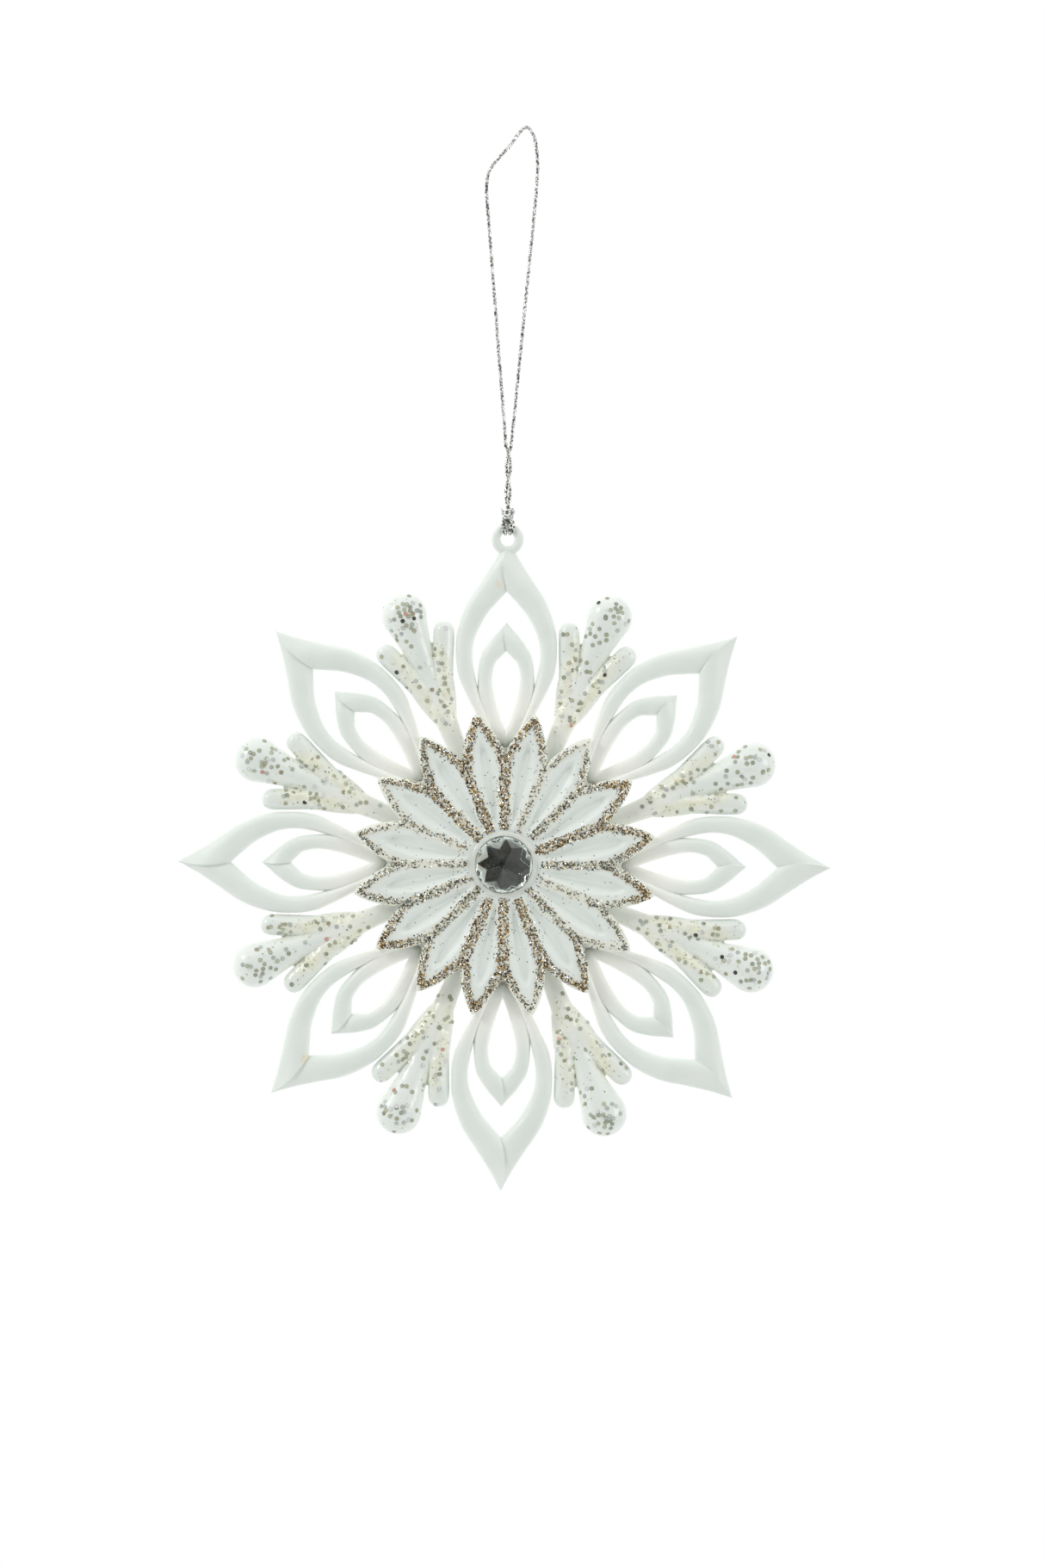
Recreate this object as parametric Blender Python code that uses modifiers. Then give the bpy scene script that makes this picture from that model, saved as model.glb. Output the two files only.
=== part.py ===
"""Snowflake star: a white plastic Christmas ornament that hangs on a loop of metallic thread.

Eight long petal loops hold eight smaller loops, with a trio of icicle drops between each
two of them. Their stems are glued between a backing disc and a sixteen-petal rosette with
a foiled rhinestone in its middle. An eyelet on the top petal hangs on the thread's knot.

Metres, +Z up, +X to the right, and the ornament's front faces -Y. The origin is at the top
of the thread loop, straight above the ornament's centre.
"""

from math import atan2, cos, pi, radians, sin

import bmesh
import bpy
from mathutils import Matrix, Vector

MM = 0.001

# Driving dimensions, in millimetres.
SPAN = 130.0  # across two opposite petal tips
PETALS = 8
LOOP_DROP = 82.3  # from the top of the thread loop down to the eyelet's centre
EYELET_REACH = 64.7  # from the ornament's centre up to the eyelet's centre
EYELET_RING = 2.2  # centreline radius of the eyelet's ring
EYELET_WIRE = 0.75  # radius of the ring's own round section
GAP = 0.3  # between pieces that touch

PETAL_THICKNESS = 4.2
INNER_THICKNESS = 3.6
DROP_FLATNESS = 0.8  # a drop's depth over its width
ROOT_RADIUS = 12.0  # where the petals' stems end, under the rosette

DISC_RADIUS = 21.0
DISC_THICKNESS = 1.4
DISC_EDGE = 0.4  # the bevel round the disc
ROSETTE_LIFT = 0.1  # added to the gap between the petals and the rosette
ROSETTE_PETALS = 16
ROSETTE_TIP = 30.4
ROSETTE_NOTCH = 22.1
ROSETTE_THICKNESS = 2.4
SEAT_RADIUS = 6.4  # the rhinestone's seat in the rosette
SEAT_FLOOR = 0.8  # what the seat leaves of the rosette
STONE_RADIUS = 6.0
STONE_TABLE = 3.3
STONE_HEIGHT = 3.4
GIRDLE_TOP = 0.9  # the stone's widest band starts this far from its back
GIRDLE_FOOT = 0.4  # and ends here, where its chamfer begins
GLUE_RADIUS = 5.2
FOIL_RADIUS = 5.7
FOIL_THICKNESS = 0.3
GLITTER_HEIGHT = 0.5  # of the lines of glitter glue on the rosette
GLITTER_RIM = 0.8  # bare rosette between them and its outline
TIP_RIM_SHARE = 1.6  # how much wider that rim is at a petal's tip
GLITTER_START = 8.8  # from the centre out to where the lines begin

THREAD = 0.7  # thread diameter
PAIR = 1.3  # across the two twisted strands
SWING_DROP = 14.5  # from the loop's top down to where its strands leave the branch
SPREAD_X = 4.85  # a strand's distance from the middle there, across
SPREAD_Y = 4.3  # and in depth: the left strand is in front, the right one behind
NECK_DROP = 64.2  # from the loop's top down to where the strands meet
TILT_DROP = 76.0  # and to where they enter the knot
NECK_SHARE = 0.1  # of the strands' spread that is left at the neck
KNOT_RADIUS = 1.25
KNOT_HALF_HEIGHT = 1.35
BIGHT_SINK = 0.5  # how far above the knot's middle the bight's top lies

# Worked out from them.
EYELET_Z = -LOOP_DROP
CENTRE_Z = EYELET_Z - EYELET_REACH
TIP = SPAN / 2
PETAL_FRONT = -PETAL_THICKNESS / 2
DISC_FRONT = PETAL_THICKNESS / 2 + GAP
ROSETTE_BACK = PETAL_FRONT - GAP - ROSETTE_LIFT
ROSETTE_FRONT = ROSETTE_BACK - ROSETTE_THICKNESS
BIGHT_RADIUS = EYELET_WIRE + GAP + THREAD / 2

# A rosette petal's flank bulges to this share of the half-angle, midway to its tip. Each
# leaf's edge is given as (distance from the centre, half-width).
FLANK_SHARE = 0.56
LEAF = ((12.5, 1.35), (17.5, 2.1), (22.0, 1.6))
LEAF_TIP = 25.4

SECTION_SIDES = 8
DROP_STEPS = 10
STONE_STEPS = 16
DISC_STEPS = 48


def clear_scene():
    for obj in list(bpy.data.objects):
        bpy.data.objects.remove(obj, do_unlink=True)


def new_collection(name):
    collection = bpy.data.collections.new(name)
    bpy.context.scene.collection.children.link(collection)
    return collection


def new_material(name, colour, roughness, metallic=0.0, transmission=0.0):
    material = bpy.data.materials.new(name)
    material.use_nodes = True
    shader = material.node_tree.nodes["Principled BSDF"]
    shader.inputs["Base Color"].default_value = (*colour, 1.0)
    shader.inputs["Roughness"].default_value = roughness
    shader.inputs["Metallic"].default_value = metallic
    shader.inputs["Transmission Weight"].default_value = transmission
    material.diffuse_color = (*colour, 1.0)
    return material


clear_scene()
PARTS = new_collection("snowflake_star")
CUTTERS = new_collection("cutters")

WHITE = new_material("white_plastic", (0.86, 0.89, 0.87), 0.35)
FROSTED = new_material("frosted_drop", (0.84, 0.86, 0.80), 0.25)
FACETED = new_material("faceted_stone", (0.75, 0.80, 0.90), 0.02, transmission=0.8)
FOILED = new_material("stone_foil", (0.35, 0.38, 0.45), 0.15, metallic=1.0)
GLITTER = new_material("glitter", (0.62, 0.54, 0.42), 0.3, metallic=0.8)
GLUED = new_material("clear_glue", (0.88, 0.86, 0.74), 0.2)
SILVER = new_material("silver_thread", (0.55, 0.56, 0.55), 0.35, metallic=1.0)


def axis_empty(name, place, parent=None):
    """An empty on a joint's axis. place is in the frame, in millimetres."""
    empty = bpy.data.objects.new(name, None)
    PARTS.objects.link(empty)
    hang(empty, place, parent)
    return empty


def hang(obj, place, parent, turn=0.0):
    """Puts obj at a place in the frame, in millimetres, turned about Y, and parents it."""
    spot = Vector(place) * MM
    if parent is not None:
        obj.parent = parent
        spot -= Vector(parent["place"])
    obj["place"] = tuple(Vector(place) * MM)
    obj.location = spot
    obj.rotation_euler = (0.0, turn, 0.0)


def add_part(name, mesh, material, place, parent, turn=0.0):
    obj = bpy.data.objects.new(name, mesh)
    PARTS.objects.link(obj)
    hang(obj, place, parent, turn)
    if not mesh.materials:
        mesh.materials.append(material)
    return obj


def to_mesh(name, build):
    """A mesh from a bmesh in millimetres that build fills, with its faces pointing out."""
    bm = bmesh.new()
    build(bm)
    bmesh.ops.recalc_face_normals(bm, faces=bm.faces)
    bmesh.ops.scale(bm, vec=(MM, MM, MM), verts=bm.verts)
    mesh = bpy.data.meshes.new(name)
    bm.to_mesh(mesh)
    bm.free()
    mesh.shade_smooth()
    mesh.set_sharp_from_angle(angle=radians(40))
    return mesh


def evaluated_mesh(obj, name):
    """The mesh that obj's modifiers make, with the object's own place applied. obj goes."""
    bpy.context.view_layer.update()
    graph = bpy.context.evaluated_depsgraph_get()
    mesh = bpy.data.meshes.new_from_object(obj.evaluated_get(graph))
    mesh.transform(obj.matrix_world)
    mesh.name = name
    bpy.data.objects.remove(obj, do_unlink=True)
    bm = bmesh.new()
    bm.from_mesh(mesh)
    bmesh.ops.remove_doubles(bm, verts=bm.verts, dist=0.00001)
    bmesh.ops.recalc_face_normals(bm, faces=bm.faces)
    bm.to_mesh(mesh)
    bm.free()
    mesh.set_sharp_from_angle(angle=radians(40))
    return mesh


def smooth_path(points, count):
    """count points on a Catmull-Rom curve through points, even in the curve's parameter."""
    ends = [2 * points[0] - points[1], *points, 2 * points[-1] - points[-2]]
    spans = len(points) - 1
    path = []
    for step in range(count):
        where = step * spans / (count - 1)
        span = min(int(where), spans - 1)
        t = where - span
        before, start, end, after = ends[span : span + 4]
        path.append(
            0.5
            * (
                2 * start
                + (end - before) * t
                + (2 * before - 5 * start + 4 * end - after) * t**2
                + (3 * start - before - 3 * end + after) * t**3
            )
        )
    return path


# A petal loop is a loft of oval sections. Each pair below is a section's inner end, on the
# loop's opening, and its outer end, as (half-width, distance from the ornament's centre),
# from the loop's root to its tip. The other half mirrors them.
OUTER_LOOP = (
    ((0.0, 23.6), (0.0, ROOT_RADIUS)),
    ((0.6, 24.1), (2.5, 15.5)),
    ((1.7, 25.9), (3.6, 22.5)),
    ((3.3, 29.0), (5.2, 28.3)),
    ((5.0, 33.3), (7.7, 33.4)),
    ((6.2, 37.6), (9.5, 37.6)),
    ((6.75, 41.5), (10.05, 42.0)),
    ((6.2, 45.2), (9.7, 47.0)),
    ((4.15, 49.4), (7.9, 52.2)),
    ((2.05, 52.0), (4.9, 56.8)),
    ((0.75, 53.45), (2.2, 61.0)),
    ((0.0, 54.3), (0.0, TIP)),
)
INNER_LOOP = (
    ((0.0, 26.5), (0.0, 24.3)),
    ((0.55, 28.0), (1.2, 25.8)),
    ((1.3, 30.2), (2.9, 29.2)),
    ((2.25, 33.6), (4.6, 33.2)),
    ((2.75, 37.0), (5.5, 37.0)),
    ((2.2, 39.9), (5.1, 41.2)),
    ((1.1, 41.25), (3.2, 44.5)),
    ((0.4, 42.0), (1.2, 46.8)),
    ((0.0, 42.4), (0.0, 48.2)),
)


def loop_mesh(name, pairs, thickness, stations):
    """A petal loop in its own plane, standing on the ornament's centre, along +Z."""
    inner = smooth_path([Vector(pair[0]) for pair in pairs], stations)
    outer = smooth_path([Vector(pair[1]) for pair in pairs], stations)
    half = [(abs(a.x), a.y, abs(b.x), b.y) for a, b in zip(inner, outer)]
    mirrored = [(-a, b, -c, d) for a, b, c, d in half[-2:0:-1]]

    def build(bm):
        rings = []
        for inner_x, inner_z, outer_x, outer_z in half + mirrored:
            middle = Vector((inner_x + outer_x, 0.0, inner_z + outer_z)) / 2
            reach = Vector((outer_x - inner_x, 0.0, outer_z - inner_z)) / 2
            ring = []
            for side in range(SECTION_SIDES):
                angle = 2 * pi * side / SECTION_SIDES
                depth = Vector((0.0, thickness / 2 * sin(angle), 0.0))
                ring.append(bm.verts.new(middle + reach * cos(angle) + depth))
            rings.append(ring)
        for ring, following in zip(rings, rings[1:] + rings[:1]):
            for side in range(SECTION_SIDES):
                up = (side + 1) % SECTION_SIDES
                bm.faces.new((ring[side], ring[up], following[up], following[side]))

    return to_mesh(name, build)


def cut_for_eyelet(obj):
    """The top petal ends where the eyelet's ring begins."""
    clearance = EYELET_RING + EYELET_WIRE + GAP
    bpy.ops.mesh.primitive_cylinder_add(
        vertices=32,
        radius=clearance * MM,
        depth=2 * PETAL_THICKNESS * MM,
        location=(0.0, 0.0, EYELET_Z * MM),
        rotation=(pi / 2, 0.0, 0.0),
    )
    cutter = bpy.context.active_object
    move_to_cutters(cutter, "eyelet_clearance")
    block = 2 * PETAL_THICKNESS
    bpy.ops.mesh.primitive_cube_add(
        size=block * MM, location=(0.0, 0.0, (EYELET_Z + block / 2) * MM)
    )
    tip = bpy.context.active_object
    move_to_cutters(tip, "tip_clearance")
    for tool in (cutter, tip):
        cut = obj.modifiers.new(tool.name, "BOOLEAN")
        cut.operation = "DIFFERENCE"
        cut.object = tool


def move_to_cutters(obj, name):
    obj.name = name
    for collection in list(obj.users_collection):
        collection.objects.unlink(obj)
    CUTTERS.objects.link(obj)
    obj.hide_render = True
    obj.display_type = "WIRE"


def petal_loops(parent):
    outer = loop_mesh("outer_loop", OUTER_LOOP, PETAL_THICKNESS, 15)
    inner = loop_mesh("inner_loop", INNER_LOOP, INNER_THICKNESS, 11)
    top = outer.copy()
    for number in range(PETALS):
        turn = 2 * pi * number / PETALS
        mesh = outer if number else top
        place = (0.0, 0.0, CENTRE_Z)
        petal = add_part(f"outer_petal_{number + 1}", mesh, WHITE, place, parent, turn)
        if number == 0:
            cut_for_eyelet(petal)
        add_part(f"inner_petal_{number + 1}", inner, WHITE, place, parent, turn)


def turned(name, profile, steps):
    """A profile of (radius, height) points turned about Z. It runs from the top down."""
    mesh = bpy.data.meshes.new(name)
    edges = [(index, index + 1) for index in range(len(profile) - 1)]
    mesh.from_pydata([(radius * MM, 0.0, height * MM) for radius, height in profile], edges, [])
    obj = bpy.data.objects.new(name, mesh)
    CUTTERS.objects.link(obj)
    screw = obj.modifiers.new("turn", "SCREW")
    screw.steps = steps
    screw.render_steps = steps
    screw.use_merge_vertices = True
    screw.merge_threshold = 0.00001
    return obj


# Drop profiles as (radius, distance), from the round end down to the stem's end.
CENTRE_DROP = (
    (0.0, 57.7),
    (1.9, 57.2),
    (3.6, 55.7),
    (4.25, 53.5),
    (3.6, 50.8),
    (2.65, 46.0),
    (1.9, 41.0),
    (2.1, 33.0),
    (1.45, 26.0),
    (1.2, ROOT_RADIUS + 2.0),
    (0.0, ROOT_RADIUS + 1.5),
)
SIDE_DROP = (
    (0.0, 2.1),
    (1.35, 1.5),
    (2.05, 0.0),
    (1.9, -6.0),
    (1.75, -12.0),
    (0.0, -17.0),
)
SIDE_DROP_PLACE = Vector((6.35, 0.0, 46.75))


def trio_mesh():
    """Three flattened drops on one stem, standing on the ornament's centre, along +Z."""
    flatten = Matrix.Diagonal((1.0, DROP_FLATNESS, 1.0, 1.0))
    body = turned("centre_drop", CENTRE_DROP, DROP_STEPS)
    body.matrix_world = flatten
    whole = evaluated_mesh(body, "centre_drop")
    for side in (-1, 1):
        drop = turned("side_drop", SIDE_DROP, DROP_STEPS - 2)
        place = Vector((side * SIDE_DROP_PLACE.x, 0.0, SIDE_DROP_PLACE.z)) * MM
        lean = Matrix.Rotation(side * pi / PETALS, 4, "Y")
        drop.matrix_world = Matrix.Translation(place) @ lean @ flatten
        drop = bpy.data.objects.new("side_drop", evaluated_mesh(drop, "side_drop"))
        whole = joined(whole, drop, "icicle_trio")
    return whole


def joined(mesh, other, name):
    """One mesh of mesh and the object other, which goes."""
    first = bpy.data.objects.new(name, mesh)
    for obj in (first, other):
        if not obj.users_collection:
            CUTTERS.objects.link(obj)
    union = first.modifiers.new("union", "BOOLEAN")
    union.operation = "UNION"
    union.object = other
    result = evaluated_mesh(first, name)
    bpy.data.objects.remove(other, do_unlink=True)
    return result


def icicle_trios(parent):
    mesh = trio_mesh()
    for number in range(PETALS):
        turn = 2 * pi * (number + 0.5) / PETALS
        add_part(
            f"icicle_trio_{number + 1}", mesh, FROSTED, (0.0, 0.0, CENTRE_Z), parent, turn
        )


def disc(name, radius, front, thickness, material, parent, edge=0.0):
    """A round plate across Y, behind its front face."""
    bpy.ops.mesh.primitive_cylinder_add(
        vertices=DISC_STEPS, radius=radius * MM, depth=thickness * MM
    )
    obj = bpy.context.active_object
    obj.data.transform(Matrix.Rotation(pi / 2, 4, "X"))
    for collection in list(obj.users_collection):
        collection.objects.unlink(obj)
    PARTS.objects.link(obj)
    obj.name = name
    obj.data.materials.append(material)
    hang(obj, (0.0, front + thickness / 2, CENTRE_Z), parent)
    if edge:
        bevel = obj.modifiers.new("edge", "BEVEL")
        bevel.width = edge * MM
        bevel.segments = 1
    return obj


def flat_plate(name, outlines, thickness):
    """A plate across Y. Each outline is a list of (angle from +Z, radius) about its middle."""
    curve = bpy.data.curves.new(name, "CURVE")
    curve.dimensions = "2D"
    curve.fill_mode = "BOTH"
    curve.extrude = thickness / 2 * MM
    for outline in outlines:
        spline = curve.splines.new("POLY")
        spline.points.add(len(outline) - 1)
        spline.use_cyclic_u = True
        for point, (angle, radius) in zip(spline.points, outline):
            point.co = (radius * MM * sin(angle), radius * MM * cos(angle), 0.0, 1.0)
    flat = bpy.data.objects.new(name, curve)
    CUTTERS.objects.link(flat)
    flat.rotation_euler = (pi / 2, 0.0, 0.0)
    return evaluated_mesh(flat, name)


def flower_outline(tip, notch):
    """Sixteen pointed petals, with sides that bulge a little."""
    outline = []
    step = pi / ROSETTE_PETALS
    flank = (tip + notch) / 2
    for petal in range(ROSETTE_PETALS):
        middle = (2 * petal + 1) * step
        outline.append((middle - step, notch))
        outline.append((middle - FLANK_SHARE * step, flank))
        outline.append((middle, tip))
        outline.append((middle + FLANK_SHARE * step, flank))
    return outline


def leaf_outline():
    """The bare leaf on each rosette petal, all open to the bare ring about the stone."""
    outline = []
    step = pi / ROSETTE_PETALS
    for petal in range(ROSETTE_PETALS):
        middle = (2 * petal + 1) * step
        outline.append((middle - step, GLITTER_START))
        for radius, half_width in LEAF:
            outline.append((middle - atan2(half_width, radius), radius))
        outline.append((middle, LEAF_TIP))
        for radius, half_width in reversed(LEAF):
            outline.append((middle + atan2(half_width, radius), radius))
    return outline


def rosette(parent):
    """The sixteen-petal flower, with a round seat for the stone and lines of glitter glue."""
    outline = flower_outline(ROSETTE_TIP, ROSETTE_NOTCH)
    mesh = flat_plate("rosette", [outline], ROSETTE_THICKNESS)
    middle_y = (ROSETTE_BACK + ROSETTE_FRONT) / 2
    flower = add_part("rosette", mesh, WHITE, (0.0, middle_y, CENTRE_Z), parent)
    bpy.ops.mesh.primitive_cylinder_add(
        vertices=32,
        radius=SEAT_RADIUS * MM,
        depth=ROSETTE_THICKNESS * MM,
        location=(0.0, (middle_y - SEAT_FLOOR) * MM, CENTRE_Z * MM),
        rotation=(pi / 2, 0.0, 0.0),
    )
    seat = bpy.context.active_object
    move_to_cutters(seat, "stone_seat")
    cut = flower.modifiers.new("stone_seat", "BOOLEAN")
    cut.operation = "DIFFERENCE"
    cut.object = seat
    edge = flower_outline(ROSETTE_TIP - TIP_RIM_SHARE * GLITTER_RIM, ROSETTE_NOTCH - GLITTER_RIM)
    mesh = flat_plate("glitter_lines", [edge, leaf_outline()], GLITTER_HEIGHT)
    middle_y = ROSETTE_FRONT - GAP - GLITTER_HEIGHT / 2
    add_part("glitter_lines", mesh, GLITTER, (0.0, middle_y, CENTRE_Z), parent)


def stone(parent):
    """The flat-backed rhinestone, its foil and the glue that holds it in the seat."""
    floor = ROSETTE_BACK - SEAT_FLOOR
    glue_front = floor - GAP - FOIL_THICKNESS
    disc("stone_glue", GLUE_RADIUS, glue_front, FOIL_THICKNESS, GLUED, parent)
    foil_front = glue_front - GAP - FOIL_THICKNESS
    disc("rhinestone_foil", FOIL_RADIUS, foil_front, FOIL_THICKNESS, FOILED, parent)
    profile = (
        (0.0, STONE_HEIGHT),
        (STONE_TABLE, STONE_HEIGHT),
        (STONE_RADIUS, GIRDLE_TOP),
        (STONE_RADIUS, GIRDLE_FOOT),
        (STONE_RADIUS - GIRDLE_FOOT, 0.0),
        (0.0, 0.0),
    )
    gem = turned("rhinestone_turned", profile, STONE_STEPS)
    gem.matrix_world = Matrix.Rotation(pi / 2, 4, "X")
    mesh = evaluated_mesh(gem, "rhinestone")
    add_part("rhinestone", mesh, FACETED, (0.0, foil_front - GAP, CENTRE_Z), parent)


def eyelet(parent):
    bpy.ops.mesh.primitive_torus_add(
        major_radius=EYELET_RING * MM,
        minor_radius=EYELET_WIRE * MM,
        major_segments=24,
        minor_segments=8,
    )
    ring = bpy.context.active_object
    mesh = ring.data.copy()
    bpy.data.objects.remove(ring, do_unlink=True)
    mesh.transform(Matrix.Rotation(pi / 2, 4, "X"))
    mesh.shade_smooth()
    add_part("eyelet", mesh, WHITE, (0.0, 0.0, EYELET_Z), parent)


def thread_tube(name, points, diameter, place, parent):
    """A stretch of thread. points and place are in the frame, in millimetres."""
    curve = bpy.data.curves.new(name, "CURVE")
    curve.dimensions = "3D"
    curve.bevel_depth = diameter / 2 * MM
    curve.bevel_resolution = 2
    curve.use_fill_caps = True
    spline = curve.splines.new("POLY")
    spline.points.add(len(points) - 1)
    for point, spot in zip(spline.points, points):
        point.co = (*((Vector(spot) - Vector(place)) * MM), 1.0)
    curve.materials.append(SILVER)
    obj = bpy.data.objects.new(name, curve)
    PARTS.objects.link(obj)
    hang(obj, place, parent)


# The thread's way over the branch, from where its left strand leaves the branch in front
# to where its right strand leaves it behind.
SADDLE = (
    (-SPREAD_X, -SPREAD_Y, GAP / 2 - SWING_DROP),
    (-4.85, -5.0, -11.8),
    (-4.3, -5.5, -9.4),
    (-2.5, -5.3, -7.0),
    (-0.3, -4.4, -4.4),
    (1.5, -2.6, -1.7),
    (3.0, 0.0, -THREAD / 2),
    (4.3, 2.7, -1.7),
    (5.0, 4.6, -4.5),
    (5.2, 5.2, -8.0),
    (5.05, 4.8, -11.4),
    (SPREAD_X, SPREAD_Y, GAP / 2 - SWING_DROP),
)


def thread(swing, spin):
    saddle = smooth_path([Vector(point) for point in SADDLE], 24)
    thread_tube("thread_over_branch", saddle, THREAD, (0.0, 0.0, 0.0), None)
    for side, name in ((-1, "thread_strand_left"), (1, "thread_strand_right")):
        start = Vector((side * SPREAD_X, side * SPREAD_Y, -SWING_DROP - GAP / 2))
        end = Vector((start.x * NECK_SHARE, start.y * NECK_SHARE, GAP / 2 - NECK_DROP))
        points = [start.lerp(end, step / 24) for step in range(25)]
        thread_tube(name, points, THREAD, (0.0, 0.0, -SWING_DROP), swing)
    top = Vector((0.0, 0.0, -NECK_DROP - GAP / 2))
    bottom = Vector((0.0, 0.0, -TILT_DROP + GAP / 2))
    points = [top.lerp(bottom, step / 5) for step in range(6)]
    thread_tube("twisted_strands", points, PAIR, (0.0, 0.0, -NECK_DROP), spin)


def knot(parent):
    """The knot on top of the eyelet, with the bight of thread that holds the ring."""
    bpy.ops.mesh.primitive_uv_sphere_add(segments=12, ring_count=8, radius=1.0)
    ball = bpy.context.active_object
    centre_z = -TILT_DROP - GAP / 2 - KNOT_HALF_HEIGHT
    size = Matrix.Diagonal((KNOT_RADIUS, KNOT_RADIUS, KNOT_HALF_HEIGHT, 1.0))
    ball.matrix_world = Matrix.Scale(MM, 4) @ Matrix.Translation((0.0, 0.0, centre_z)) @ size
    mass = evaluated_mesh(ball, "knot_mass")
    bpy.ops.mesh.primitive_torus_add(
        major_radius=BIGHT_RADIUS * MM,
        minor_radius=THREAD / 2 * MM,
        major_segments=20,
        minor_segments=8,
    )
    bight = bpy.context.active_object
    bight_z = EYELET_Z + EYELET_RING
    upper_reach = (centre_z + BIGHT_SINK - bight_z) / BIGHT_RADIUS
    for vertex in bight.data.vertices:
        if vertex.co.x < 0:
            vertex.co.x *= upper_reach
    bight.data.transform(Matrix.Rotation(pi / 2, 4, "Y"))
    bight.location = (0.0, 0.0, bight_z * MM)
    whole = joined(mass, bight, "thread_knot")
    whole.transform(Matrix.Translation((0.0, 0.0, TILT_DROP * MM)))
    whole.materials.clear()
    add_part("thread_knot", whole, SILVER, (0.0, 0.0, -TILT_DROP), parent)


def main():
    swing = axis_empty("loop_swing_axis", (0.0, 0.0, -SWING_DROP))
    spin = axis_empty("thread_spin_axis", (0.0, 0.0, -NECK_DROP), swing)
    tilt = axis_empty("knot_tilt_axis", (0.0, 0.0, -TILT_DROP), spin)
    turn = axis_empty("eyelet_turn_axis", (0.0, 0.0, EYELET_Z), tilt)
    thread(swing, spin)
    knot(tilt)
    eyelet(turn)
    petal_loops(turn)
    icicle_trios(turn)
    disc("backing_disc", DISC_RADIUS, DISC_FRONT, DISC_THICKNESS, WHITE, turn, edge=DISC_EDGE)
    rosette(turn)
    stone(turn)


main()
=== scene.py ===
"""Looks of the snowflake star ornament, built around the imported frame.

A white moulded snowflake hangs on a loop of metallic thread. Shapes are built in
millimetres about the ornament's centre, +X to the right and +Z up, with its front facing
-Y, and then placed in the frame.
"""

import random
from math import atan2, ceil, copysign, cos, exp, hypot, pi, radians, sin, tau

import bmesh
import bpy
from mathutils import Matrix, Vector, noise
from mathutils.bvhtree import BVHTree


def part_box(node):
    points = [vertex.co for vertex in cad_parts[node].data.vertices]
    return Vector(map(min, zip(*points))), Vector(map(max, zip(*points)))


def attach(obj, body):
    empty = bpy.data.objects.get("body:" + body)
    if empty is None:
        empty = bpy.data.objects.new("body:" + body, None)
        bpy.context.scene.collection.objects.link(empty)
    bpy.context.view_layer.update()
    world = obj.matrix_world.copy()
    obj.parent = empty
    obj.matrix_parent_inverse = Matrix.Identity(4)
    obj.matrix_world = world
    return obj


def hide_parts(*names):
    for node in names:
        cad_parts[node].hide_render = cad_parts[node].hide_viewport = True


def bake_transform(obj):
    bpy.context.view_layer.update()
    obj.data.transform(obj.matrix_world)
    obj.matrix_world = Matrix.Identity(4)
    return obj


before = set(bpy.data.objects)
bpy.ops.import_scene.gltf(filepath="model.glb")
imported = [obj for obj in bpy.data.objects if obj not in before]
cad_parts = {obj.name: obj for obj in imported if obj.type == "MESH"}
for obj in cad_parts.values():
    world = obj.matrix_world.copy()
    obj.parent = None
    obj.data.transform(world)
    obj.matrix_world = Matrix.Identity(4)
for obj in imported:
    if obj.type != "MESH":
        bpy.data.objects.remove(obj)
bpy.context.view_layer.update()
MM = 0.001


def middle(node):
    low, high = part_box(node)
    return (low + high) / 2


def reach(node, axis):
    """(lowest, highest) of a node along an axis, in millimetres in the frame."""
    low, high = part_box(node)
    return low[axis] / MM, high[axis] / MM


# Places in the frame.
PETALS = 8
ROSETTE_PETALS = 16
CENTRE = Vector((0.0, 0.0, middle("backing_disc").z))
EYELET = Vector((0.0, 0.0, (middle("eyelet").z - CENTRE.z) / MM))
TIP = (reach("outer_petal_3", 0)[1] - reach("outer_petal_7", 0)[0]) / 2
DISC_FRONT, DISC_BACK = reach("backing_disc", 1)
DISC_RADIUS = reach("backing_disc", 0)[1]
ROSETTE_FRONT, ROSETTE_BACK = reach("rosette", 1)
GLUE_FRONT, GLUE_BACK = reach("stone_glue", 1)
FOIL_FRONT, FOIL_BACK = reach("rhinestone_foil", 1)
STONE_FRONT, STONE_BACK = reach("rhinestone", 1)
STONE_RADIUS = reach("rhinestone", 0)[1]

# Sizes that part.py drives, in millimetres.
PETAL_THICKNESS = 4.2
INNER_THICKNESS = 3.6
DROP_FLATNESS = 0.8
EYELET_RING = 2.2
EYELET_WIRE = 0.75
SKIN_LOSS = 0.18
ROSETTE_TIP = 30.4
ROSETTE_NOTCH = 22.1
SEAT_RADIUS = 6.4
SEAT_FLOOR = 0.8
LEAF = ((7.6, 0.35), (12.5, 1.35), (17.5, 2.1), (22.0, 1.6), (25.4, 0.0))
THREAD = 0.7
SPREAD_X, SPREAD_Y = 4.85, 4.3
SWING_DROP = 14.5
NECK_DROP = 64.2
TILT_DROP = 76.0
NECK_SHARE = 0.1

# The thread's way over the branch, in metres in the frame, from left in front to right
# behind, as part.py has it.
SADDLE = (
    (-0.00485, -0.0043, -0.01435),
    (-0.00485, -0.0050, -0.0118),
    (-0.0043, -0.0055, -0.0094),
    (-0.0025, -0.0053, -0.0070),
    (-0.0003, -0.0044, -0.0044),
    (0.0015, -0.0026, -0.0017),
    (0.0030, 0.0, -0.00035),
    (0.0043, 0.0027, -0.0017),
    (0.0050, 0.0046, -0.0045),
    (0.0052, 0.0052, -0.0080),
    (0.00505, 0.0048, -0.0114),
    (0.00485, 0.0043, -0.01435),
)


# -------- small helpers


def progress(low, high, value):
    """How far a value is on its way from low to high, from 0 to 1."""
    return min(1.0, max(0.0, (value - low) / (high - low)))


def smoothstep(low, high, value):
    t = progress(low, high, value)
    return t * t * (3 - 2 * t)


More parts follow.
